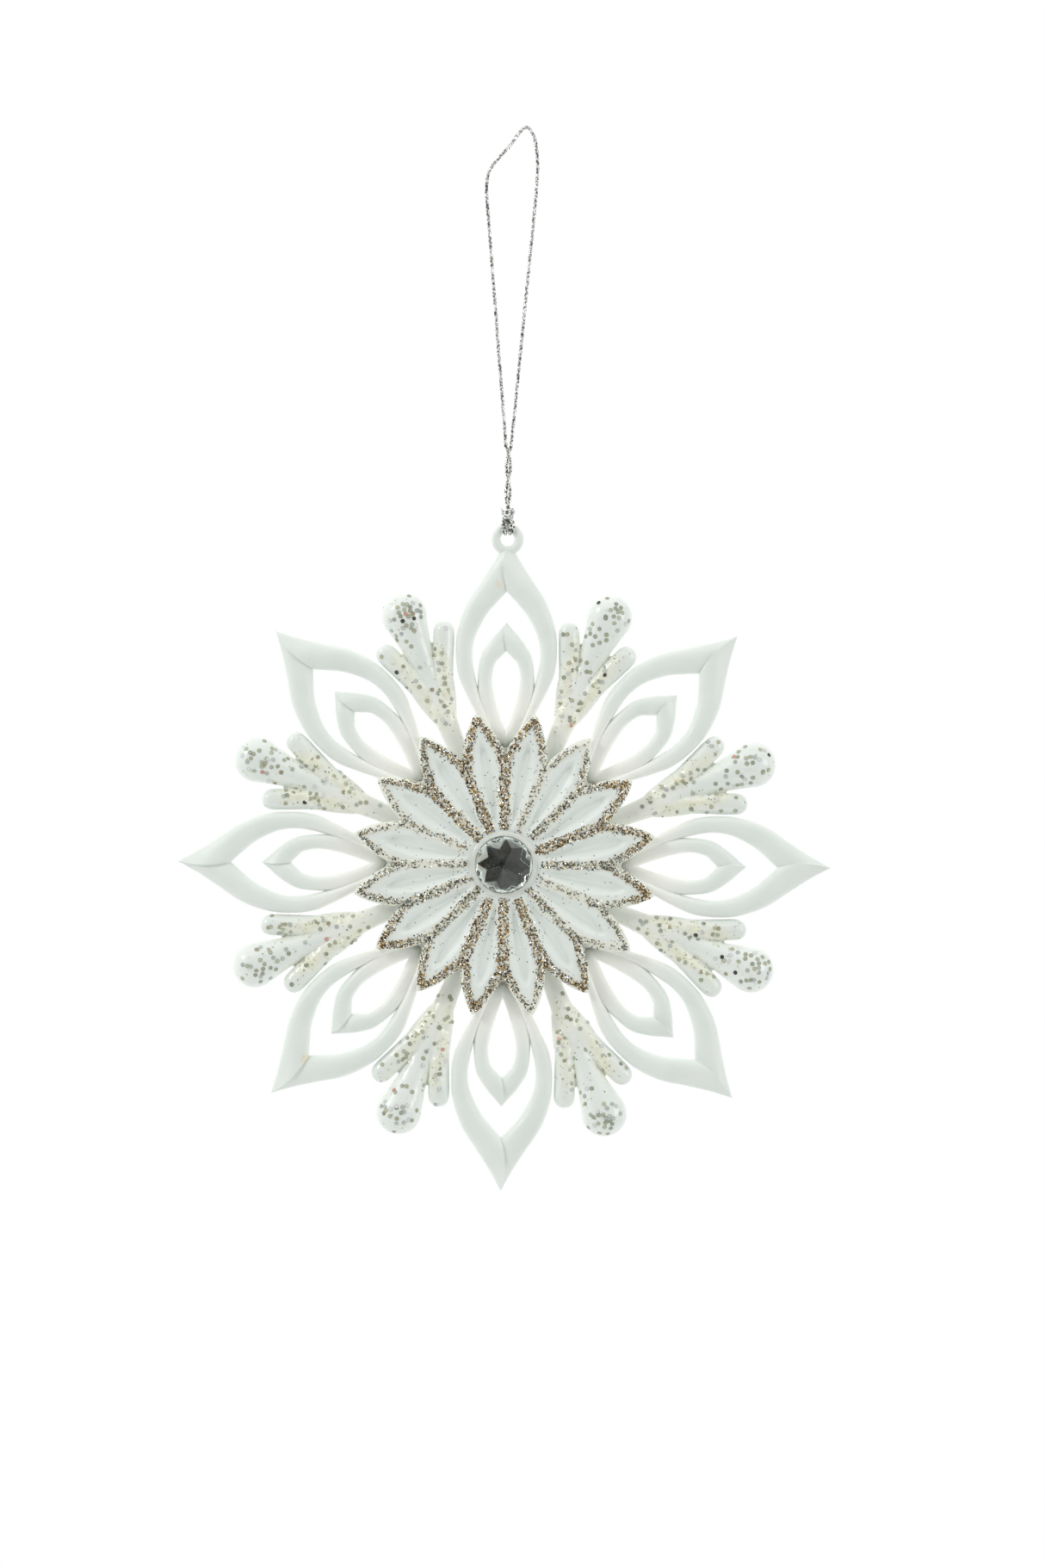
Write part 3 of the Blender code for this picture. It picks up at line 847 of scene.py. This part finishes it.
def glue_share(spot, seed):
    """How much glue lies at a spot of a trio: most in its crotches and up its stem."""
    x, z = abs(spot.x), spot.z
    where = progress(28.0, 45.5, z)
    line = 0.5 + 3.6 * where
    spread = 1.0 + 0.7 * where
    near = exp(-(((x - line) / spread) ** 2))
    high = smoothstep(27.0, 34.0, z) * (1.0 - smoothstep(43.0, 50.0, z))
    patchy = 0.75 + 0.7 * noise.noise(Vector((spot.x * 0.5, z * 0.35, seed * 3.1)))
    seeded = spot * 0.45 + Vector((seed, 0.0, 0.0))
    bulb = 0.25 * smoothstep(45.0, 50.0, z) * max(0.0, noise.noise(seeded))
    return min(1.0, max(0.0, near * high * patchy + bulb))


def glued_trio(base, number):
    """One trio in local millimetres: the skin with its own lumps of glue, and their shares."""
    bm = bmesh.new()
    bm.from_mesh(base)
    bm.normal_update()
    shares = []
    moves = []
    for vertex in bm.verts:
        share = glue_share(vertex.co, number)
        front = smoothstep(-0.2, 0.6, -vertex.normal.y)
        lumps = noise.noise(vertex.co * 0.9 + Vector((number * 5.0, 0.0, 0.0)))
        fine = noise.noise(vertex.co * 2.6 - Vector((number * 5.0, 0.0, 0.0)))
        rise = share * front * (0.26 + 0.34 * lumps + 0.12 * fine)
        wobble = 0.05 * noise.noise(vertex.co * 0.35 + Vector((0.0, number * 9.0, 0.0)))
        moves.append(vertex.normal * (rise + wobble))
        shares.append(share)
    for vertex, move in zip(bm.verts, moves):
        vertex.co += move
    return bm, shares


# Colours of glitter, and how often each of them comes.
SEQUINS_AND_GLINTS = {
    (0.53, 0.56, 0.40): 20,
    (0.62, 0.66, 0.49): 24,
    (0.46, 0.50, 0.38): 14,
    (0.64, 0.64, 0.44): 12,
    (0.53, 0.47, 0.30): 4,
    (0.68, 0.75, 0.70): 20,
    (0.08, 0.08, 0.06): 1,
    # Painted highlight: pure white sequins that stand in for glints on the glue.
    (1.0, 1.0, 0.98): 11,
    (0.90, 0.48, 0.40): 1,
}
DUST_AND_GLINTS = {
    (0.62, 0.60, 0.36): 12,
    (0.75, 0.72, 0.50): 10,
    (0.42, 0.45, 0.29): 8,
    # Painted highlight: pure white dust that stands in for glints on the glue.
    (1.0, 1.0, 0.95): 8,
    (0.22, 0.22, 0.14): 4,
    (0.62, 0.70, 0.66): 4,
}
WARM = {
    (0.27, 0.16, 0.05): 15,
    (0.56, 0.37, 0.11): 22,
    (0.38, 0.20, 0.07): 13,
    (0.70, 0.58, 0.33): 9,
    (0.85, 0.76, 0.52): 6,
    (0.12, 0.08, 0.03): 13,
    (0.04, 0.03, 0.02): 11,
    (1.0, 0.99, 0.93): 20,
}
COOL = {
    (0.38, 0.37, 0.24): 14,
    (0.22, 0.26, 0.21): 12,
    (0.70, 0.66, 0.47): 7,
    (0.24, 0.37, 0.34): 8,
    (0.10, 0.11, 0.07): 16,
    (0.04, 0.04, 0.03): 14,
    (1.0, 1.0, 0.97): 20,
    (0.42, 0.29, 0.12): 11,
}


class Flakes:
    """Thin closed chips, each with its own colour, gathered into one mesh."""

    def __init__(self):
        self.points = []
        self.faces = []
        self.colours = []

    def lay(
        self, spot, facing, lift, draw, tilt, size, colour, sides, spin=0.0, rim=1.0, high=0.07
    ):
        """Lays a chip over a spot that faces some way, tilted by up to tilt degrees."""
        spot = spot + facing * lift
        facing = tilted(facing, draw, tilt)
        first = len(self.points)
        side = facing.orthogonal().normalized()
        up = facing.cross(side)
        for angle in angles(sides, spin):
            self.points.append(spot + around(side, up, angle, size))
            self.colours.append(tuple(c * rim for c in colour))
        self.points.append(spot + facing * (size * high))
        self.points.append(spot - facing * (size * high))
        self.colours += [colour, colour]
        for corner in range(sides):
            following = (corner + 1) % sides
            self.faces.append((first + corner, first + following, first + sides))
            self.faces.append((first + following, first + corner, first + sides + 1))

    def mesh(self, name, place):
        mesh = bpy.data.meshes.new(name)
        mesh.from_pydata(self.points, [], self.faces)
        mesh.transform(place)
        tint = mesh.color_attributes.new("tint", "FLOAT_COLOR", "POINT")
        flat = [value for colour in self.colours for value in (*colour, 1.0)]
        tint.data.foreach_set("color", flat)
        return mesh


def tilted(facing, draw, most):
    """A direction up to most degrees away from facing."""
    away = radians(most) * draw.random() ** 0.5
    axis = Matrix.Rotation(draw.uniform(0.0, tau), 3, facing) @ facing.orthogonal()
    return (Matrix.Rotation(away, 3, axis) @ facing).normalized()


def picked(draw, colours):
    """One of a table's colours, a little lighter or darker."""
    colour = draw.choices(list(colours), colours.values())[0]
    factor = 1.0 + draw.uniform(-0.12, 0.12)
    return tuple(min(1.0, c * factor) for c in colour)


def trio_front(tree, x, z, least):
    """A place on a trio's front and its normal, or nothing where it turns too far away."""
    hit, facing, _, _ = tree.ray_cast(Vector((x, -9.0, z)), Vector((0.0, 1.0, 0.0)))
    return None if hit is None or facing.y > -least else (hit, facing)


def trio_glitter(tree, number, draw):
    """Round sequins and finer dust on the front of one trio; the pure white ones are painted
    highlights.
    """
    flakes = Flakes()
    lean = draw.choice((-1.0, 1.0))
    cluster = (lean * draw.uniform(1.2, 2.4), draw.uniform(51.5, 55.0))
    placed = []
    wanted = draw.randint(58, 70)
    tries = 0
    while len(placed) < wanted and tries < 6000:
        tries += 1
        x, z = draw.uniform(-9.0, 9.0), draw.uniform(27.0, 57.5)
        away = hypot(x - cluster[0], z - cluster[1])
        share = glue_share(Vector((x, 0.0, z)), number)
        chance = 0.08 + 0.40 * share + 0.85 * exp(-((away / 2.0) ** 2))
        chance += 0.30 * (z > 47.0 and abs(x) < 4.8)
        crowded = any(hypot(x - a, z - b) < 0.7 for a, b in placed)
        if draw.random() > chance or (crowded and draw.random() < 0.85):
            continue
        found = trio_front(tree, x, z, 0.5)
        if not found:
            continue
        placed.append((x, z))
        colour = picked(draw, SEQUINS_AND_GLINTS)
        size = draw.uniform(0.40, 0.45)
        flakes.lay(*found, 0.05, draw, 9.0, size, colour, 14, rim=0.7, high=0.05)
    for _ in range(620):
        x, z = draw.uniform(-8.5, 8.5), draw.uniform(26.0, 57.5)
        share = glue_share(Vector((x, 0.0, z)), number)
        if draw.random() > 0.15 + share:
            continue
        found = trio_front(tree, x, z, 0.3)
        if not found:
            continue
        colour = picked(draw, DUST_AND_GLINTS)
        size = draw.uniform(0.09, 0.21)
        spin = draw.uniform(0.0, 1.0)
        flakes.lay(*found, 0.03, draw, 30.0, size, colour, 6, spin)
    return flakes


def trios(frosted, film):
    base = trio_skin()
    for number in range(1, PETALS + 1):
        draw = random.Random(40 + number)
        bm, shares = glued_trio(base, number)
        tree = BVHTree.FromBMesh(bm)
        flakes = trio_glitter(tree, number, draw)
        place = in_frame(tau * (number - 0.5) / PETALS)
        name = f"icicle_trio_{number}"
        # Painted light: a lighter colour towards the root, for light coming through the plastic.
        pales = [paleness(vertex.co.z) for vertex in base.vertices]
        add_piece(name, bm, frosted, "frosted_drop", place, stain=shares, pale=pales)
        name = f"sequins_{number}"
        add_piece(name, flakes.mesh(name, place), film, "glitter", nodes=())
    bpy.data.meshes.remove(base)


# -------- rosette and glitter

STEP = pi / ROSETTE_PETALS
OUTLINE_POWER = 1.195
LINE_SPLIT = 20.6
LINE_TIP = 29.5
LINE_BULGE = 0.35
COLLAR = 8.4
HOLLOW = 0.95


def outline_radius(share):
    """How far a rosette petal reaches, at a share of its half-angle from its middle."""
    return ROSETTE_NOTCH + (ROSETTE_TIP - ROSETTE_NOTCH) * (1.0 - share**OUTLINE_POWER)


def in_petal(x, z):
    """(distance, angle from the nearest petal's middle) of a point of the rosette."""
    radius = hypot(x, z)
    angle = atan2(x, z) % (2 * STEP)
    return radius, abs(angle - STEP)


SPLIT = Vector((LINE_SPLIT * sin(STEP), LINE_SPLIT * cos(STEP)))
LINE_END = Vector((0.0, LINE_TIP))


def branch_point(t):
    """A point of a glitter line between its split and a petal's tip, in the petal."""
    along = LINE_END - SPLIT
    out = Vector((along.y, -along.x)).normalized()
    return SPLIT + along * t + out * (LINE_BULGE * sin(pi * t))


def line_distance(radius, angle):
    """How far a point in a petal is from its glitter line."""
    spot = Vector((radius * sin(angle), radius * cos(angle)))
    spoke = Vector((sin(STEP), cos(STEP)))
    along = min(LINE_SPLIT, max(COLLAR, spot.dot(spoke)))
    nearest = (spot - spoke * along).length
    for step in range(9):
        nearest = min(nearest, (spot - branch_point(step / 8)).length)
    return nearest


def petal_height(x, z):
    """How far the rosette's front stands out from its flat blank, below zero in hollows."""
    radius, angle = in_petal(x, z)
    across = radius * sin(angle)
    wide = interpolated(LEAF, radius) if radius > LEAF[0][0] else 0.0
    height = 0.0
    if wide > 0.05:
        q = across / wide
        hollow = max(0.0, 1.0 - q * q) ** 0.75
        ease = smoothstep(0.0, 1.0, wide / 1.2)
        height -= HOLLOW * hollow * ease
        height += 0.20 * exp(-((across / 0.3) ** 2)) * ease
    edge = outline_radius(min(1.0, angle / STEP)) - radius
    steep = 0.47 if radius > ROSETTE_NOTCH - 2.0 else 1.0
    off = max(0.0, 1.0 - edge * steep / 0.8)
    height -= 0.9 * off**2.2 * smoothstep(18.0, 21.0, radius)
    valley = (STEP - angle) * radius
    height -= 0.12 * exp(-((valley / 0.25) ** 2)) * smoothstep(9.0, 14.0, radius)
    bed = exp(-((line_distance(radius, angle) / 0.85) ** 2))
    height += 0.22 * bed
    height -= 0.2 * (1.0 - smoothstep(SEAT_RADIUS, SEAT_RADIUS + 0.6, radius))
    return height


def rosette(material):
    """The sixteen-petal flower, a fine net of points over each petal."""
    rows, columns = 46, 26
    total = ROSETTE_PETALS * columns
    bm = bmesh.new()
    fronts, backs = [], []
    for row in range(rows + 1):
        t = row / rows
        rounding = 0.35 * smoothstep(0.93, 1.0, t)
        front, back = [], []
        for column, angle in enumerate(angles(total)):
            limit = outline_radius(abs(2 * (column % columns) / columns - 1.0))
            radius = SEAT_RADIUS + (limit - SEAT_RADIUS) * (1.0 - (1.0 - t) ** 1.15)
            x, z = radius * sin(angle), radius * cos(angle)
            height = petal_height(x, z) + 0.05 * noise.noise(Vector((x, z, 3.0)) * 0.45)
            front.append(bm.verts.new((x, ROSETTE_FRONT - height, z)))
            back.append(bm.verts.new((x, ROSETTE_BACK + 0.35 - rounding, z)))
        fronts.append(front)
        backs.append(back)
    seat = circle(bm, total, 0.985 * SEAT_RADIUS, ROSETTE_BACK - SEAT_FLOOR)
    skin(bm, [seat, *fronts, *reversed(backs)])
    marks = []
    for vertex in bm.verts:
        radius, angle = in_petal(vertex.co.x, vertex.co.z)
        away = line_distance(radius, angle)
        ragged = noise.noise(vertex.co * 0.7)
        halo = (1.0 - smoothstep(0.5, 1.5, away + 0.4 * ragged)) * (vertex.co.y < -3.0)
        marks.append(0.8 * halo)
    add_piece("rosette", bm, material, "white_plastic", in_frame(), 50, stain=marks)


# Where the glitter lies thick and coppery, and where thin, as degrees clockwise from the top.
THICK = (-47, -22, -13, 0, 12, 57, 66, 78, 100, 146, 158, 180, 191, 203, 214, 236)
THIN = (-72, -58, 20, 34, 112, 124, 168, 270, 290)


def near_any(degrees, places, width):
    """From 0 to 1, how near an angle is to one of a list's places."""
    nearest = min(abs((degrees - place + 180.0) % 360.0 - 180.0) for place in places)
    return exp(-((nearest / width) ** 2))


def glitter(film):
    """The lines of glitter glue on the rosette, and the flakes that strayed from them."""
    draw = random.Random(7)
    flakes = Flakes()
    branch = [Matrix.Rotation(STEP, 2) @ branch_point(step / 6) for step in range(7)]
    lines = []
    for valley in range(ROSETTE_PETALS):
        start = draw.uniform(6.5, 8.1)
        spoke = Vector((0.0, 1.0))
        lines.append((valley, [spoke * start, spoke * (LINE_SPLIT * 0.5), spoke * LINE_SPLIT]))
        for side in (-1, 1):
            lines.append((valley, [Vector((side * spot.x, spot.y)) for spot in branch]))
    for valley, points in lines:
        turn = Matrix.Rotation(-2 * STEP * valley, 2)
        spots = [turn @ point for point in points]
        for a, b in zip(spots, spots[1:]):
            length = (b - a).length
            along = (b - a) / length
            out = Vector((along.y, -along.x))
            count = ceil(length * 34)
            for _ in range(count):
                spot = a.lerp(b, draw.random())
                degrees = atan2(spot.x, spot.y) * 180 / pi
                thick = near_any(degrees, THICK, 7.0)
                thin = near_any(degrees, THIN, 6.0)
                density = min(1.0, max(0.18, 0.52 + 0.48 * thick - 0.40 * thin))
                patch = noise.noise(Vector((spot.x, spot.y, 1.0)) * 0.5)
                if draw.random() > density + 0.25 * patch:
                    continue
                half = 0.80 + 0.30 * thick - 0.15 * thin + 0.25 * patch
                half *= 0.75 + 0.25 * smoothstep(7.0, 12.0, spot.length)
                half *= 1.0 - 0.45 * smoothstep(23.0, 29.0, spot.length)
                offset = draw.uniform(-1.0, 1.0)
                if draw.random() < 0.12:
                    offset *= 1.5
                spot = spot + out * (offset * half)
                warm = draw.random() < 0.12 + 0.80 * thick
                place_flake(flakes, spot, draw, warm, 30.0)
    strays = 0
    while strays < 1100:
        angle = draw.uniform(0.0, tau)
        radius = draw.uniform(7.0, 29.5)
        spot = Vector((radius * sin(angle), radius * cos(angle)))
        radius, within = in_petal(spot.x, spot.y)
        if radius > outline_radius(min(1.0, within / STEP)) - 0.3:
            continue
        away = line_distance(radius, within)
        if draw.random() > 0.12 + exp(-((away / 1.3) ** 2)):
            continue
        strays += 1
        place_flake(flakes, spot, draw, draw.random() < 0.2, 18.0, 0.72)
    mesh = flakes.mesh("glitter_flakes", in_frame())
    add_piece("glitter_flakes", mesh, film, "glitter", nodes=("glitter_lines",))


def place_flake(flakes, spot, draw, warm, tilt, scale=1.0):
    """One flake on the rosette's front."""
    if spot.length < SEAT_RADIUS + 0.2:
        return
    radius, within = in_petal(spot.x, spot.y)
    if radius > outline_radius(min(1.0, within / STEP)) - 0.12:
        return
    colour = picked(draw, WARM if warm else COOL)
    size = scale * draw.uniform(0.11, 0.185)
    stack = draw.uniform(0.02, 0.16) * scale
    place = Vector((spot.x, ROSETTE_FRONT - petal_height(spot.x, spot.y), spot.y))
    front = Vector((0.0, -1.0, 0.0))
    spin = draw.uniform(0.0, 1.0)
    flakes.lay(place, front, stack, draw, tilt, size, colour, 6, spin)


# -------- rhinestone

STAR = PETALS
STAR_TURN = radians(4.0)
NOTCH_RADIUS, ARM_RADIUS, CUT_RADIUS = 3.45, 5.15, STONE_RADIUS - 0.3
CROWN_FALL = 1.05
GIRDLE_HIGH, GIRDLE_LOW = 0.8, 0.45


def rhinestone(clear):
    """A flat-backed stone: eight kites meet at its crown, with small facets between."""
    half = pi / STAR
    slope = CROWN_FALL / (NOTCH_RADIUS * cos(half))
    bm = bmesh.new()
    apex = bm.verts.new((0.0, STONE_FRONT, 0.0))
    arms = circle(bm, STAR, ARM_RADIUS, STONE_FRONT + slope * ARM_RADIUS, STAR_TURN)
    notches = circle(bm, STAR, NOTCH_RADIUS, STONE_FRONT + CROWN_FALL, STAR_TURN + half)
    girdle = circle(bm, 2 * STAR, CUT_RADIUS, STONE_BACK - GIRDLE_HIGH, STAR_TURN)
    belt = circle(bm, 2 * STAR, CUT_RADIUS, STONE_BACK - GIRDLE_LOW, STAR_TURN)
    base = circle(bm, 2 * STAR, CUT_RADIUS - 0.4, STONE_BACK, STAR_TURN)
    draw = random.Random(11)
    for vertex in (apex, *arms, *notches):
        vertex.co.x += draw.uniform(-0.2, 0.2)
        vertex.co.y += draw.uniform(-0.08, 0.08)
        vertex.co.z += draw.uniform(-0.2, 0.2)
    for k in range(STAR):
        before, after = notches[k - 1], notches[k]
        following = arms[(k + 1) % STAR]
        bm.faces.new((apex, before, arms[k], after))
        bm.faces.new((after, arms[k], girdle[2 * k + 1]))
        bm.faces.new((after, girdle[2 * k + 1], following))
        bm.faces.new((arms[k], girdle[2 * k], girdle[2 * k + 1]))
        bm.faces.new((following, girdle[2 * k + 1], girdle[(2 * k + 2) % (2 * STAR)]))
    bridge(bm, girdle, belt)
    bridge(bm, belt, base)
    bm.faces.new(base)
    bmesh.ops.recalc_face_normals(bm, faces=bm.faces)
    edges = [edge for edge in bm.edges if edge.calc_face_angle(0.0) > radians(8)]
    bmesh.ops.bevel(bm, geom=edges, offset=0.07, segments=1, affect="EDGES")
    add_piece("rhinestone", bm, clear, "faceted_stone", in_frame(), 0)


def foil(mirror):
    """The flat foil under the stone, with a raised rim."""
    bm = bmesh.new()
    rim = CUT_RADIUS - 0.25
    middle_y, rim_y = FOIL_FRONT + 0.04, FOIL_FRONT + 0.02
    profile = ((0.0, middle_y), (0.8 * rim, middle_y), (rim, rim_y), (rim, FOIL_BACK))
    skin(bm, [circle(bm, 2 * STAR, radius, y, STAR_TURN) for radius, y in profile])
    add_piece("rhinestone_foil", bm, mirror, "stone_foil", in_frame(), 0)


def stone_glue(glue):
    """A flattened bead of glue that squeezes up round the stone's foot."""
    bm = bmesh.new()
    profile = (
        *((5.2, GLUE_BACK), (6.05, GLUE_BACK - 0.2)),
        *((6.25, ROSETTE_FRONT + 0.9), (6.7, ROSETTE_FRONT + 0.1), (6.5, ROSETTE_FRONT)),
        *((6.1, ROSETTE_FRONT - 0.1), (5.74, ROSETTE_FRONT - 0.2), (5.7, ROSETTE_FRONT + 0.2)),
        *((5.6, FOIL_FRONT + 0.1), (5.4, GLUE_FRONT), (5.2, GLUE_FRONT)),
    )
    skin(bm, [circle(bm, 64, radius, y) for radius, y in profile])
    for vertex in bm.verts:
        spot = vertex.co
        if spot.y < GLUE_FRONT - 0.5:
            spot.y += 0.16 * noise.noise(Vector((spot.x, spot.z, 0.0)) * 0.55)
    add_piece("stone_glue", bm, glue, "clear_glue", in_frame(), 45)


# -------- back


def backing_disc(material):
    """A moulded disc with a rounded rim, a shallow ring and ejector-pin marks."""
    profile = (
        *((0.0, 0.0), (3.0, 0.0), (3.3, -0.12), (13.6, -0.12), (14.0, 0.05), (15.0, 0.05)),
        *((15.4, -0.12), (19.6, -0.14), (20.6, -0.35), (21.0, -0.85), (20.8, -1.45)),
        *((20.0, -1.75), (0.0, -1.75)),
    )
    bm = bmesh.new()
    dense = []
    for (r0, y0), (r1, y1) in zip(profile, profile[1:]):
        parts = max(1, round(abs(r1 - r0) / 1.2))
        dense += [(r0 + (r1 - r0) * k / parts, y0 + (y1 - y0) * k / parts) for k in range(parts)]
    scale = DISC_RADIUS / 21.0
    skin(bm, [circle(bm, 128, radius * scale, DISC_BACK + y) for radius, y in dense])
    pins = [(9.0 * sin(pi * k / 2 + 0.5), 9.0 * cos(pi * k / 2 + 0.5)) for k in range(4)]
    marks = []
    for vertex in bm.verts:
        spot = vertex.co
        for x, z in pins:
            away = hypot(spot.x - x, spot.z - z)
            if spot.y > DISC_BACK - 0.3:
                spot.y -= 0.12 * (1.0 - smoothstep(1.1, 1.6, away))
        spot.y += 0.06 * noise.noise(spot * 0.22)
        marks.append(0.5 * smoothstep(18.5, 21.0, hypot(spot.x, spot.z)))
    add_piece("backing_disc", bm, material, "white_plastic", in_frame(), 50, stain=marks)


def stem_glue(glue):
    """Dabs of glue where the sixteen stems leave the backing disc's rim."""
    draw = random.Random(3)
    bm = bmesh.new()
    for k in range(2 * PETALS):
        turn = pi * k / PETALS
        wide = (2.6 if k % 2 == 0 else 1.7) * draw.uniform(0.85, 1.15)
        ball = bmesh.ops.create_icosphere(bm, subdivisions=4, radius=1.0)["verts"]
        out = DISC_RADIUS - 0.1 + draw.uniform(-0.4, 0.4)
        place = Matrix.Rotation(turn, 4, "Y") @ Matrix.Translation((0.0, DISC_FRONT - 0.1, out))
        size = Matrix.Diagonal((wide, 1.15, draw.uniform(1.3, 1.9), 1.0))
        seed = Vector((k * 3.7, 0.0, 0.0))
        for vertex in ball:
            vertex.co *= 1.0 + 0.14 * noise.noise(vertex.co * 1.4 + seed)
        bmesh.ops.transform(bm, matrix=place @ size, verts=ball)
    add_piece("stem_glue", bm, glue, "clear_glue", in_frame(), nodes=())


# -------- the whole


def main():
    camera()
    light_tent()
    softbox("key", (-1.9, -1.3, 1.1), 0.5, 14.0)
    softbox("fill", (1.9, -1.3, 0.2), 0.9, 8.0)
    floor()

    silver = thread_material()
    loop, path = thread_loop(silver)
    pair = twisted_pair(silver)
    knot = tie(silver)

    shades = (0.83, 0.89, 0.835), (0.87, 0.915, 0.87), (0.85, 0.83, 0.66)
    white = moulded("white_plastic", *shades)
    shades = (0.85, 0.91, 0.86), (0.89, 0.935, 0.89), (0.90, 0.905, 0.72)
    frosted = moulded("frosted_drop", *shades, rough=(0.12, 0.30), coat=0.35)
    shades = (0.84, 0.905, 0.85), (0.87, 0.92, 0.875), (0.86, 0.86, 0.74)
    flower = moulded("rosette_plastic", *shades)
    film = glitter_material("glitter_film", 0.12, 0.9)
    sequin = glitter_material("sequin_film", 0.30, 0.0)
    glue = glue_material()

    petals(white)
    eyelet(white)
    trios(frosted, sequin)
    backing_disc(white)
    stem_glue(glue)
    rosette(flower)
    glitter(film)
    stone_glue(glue)
    foil(foil_material())
    rhinestone(gem_material())


main()
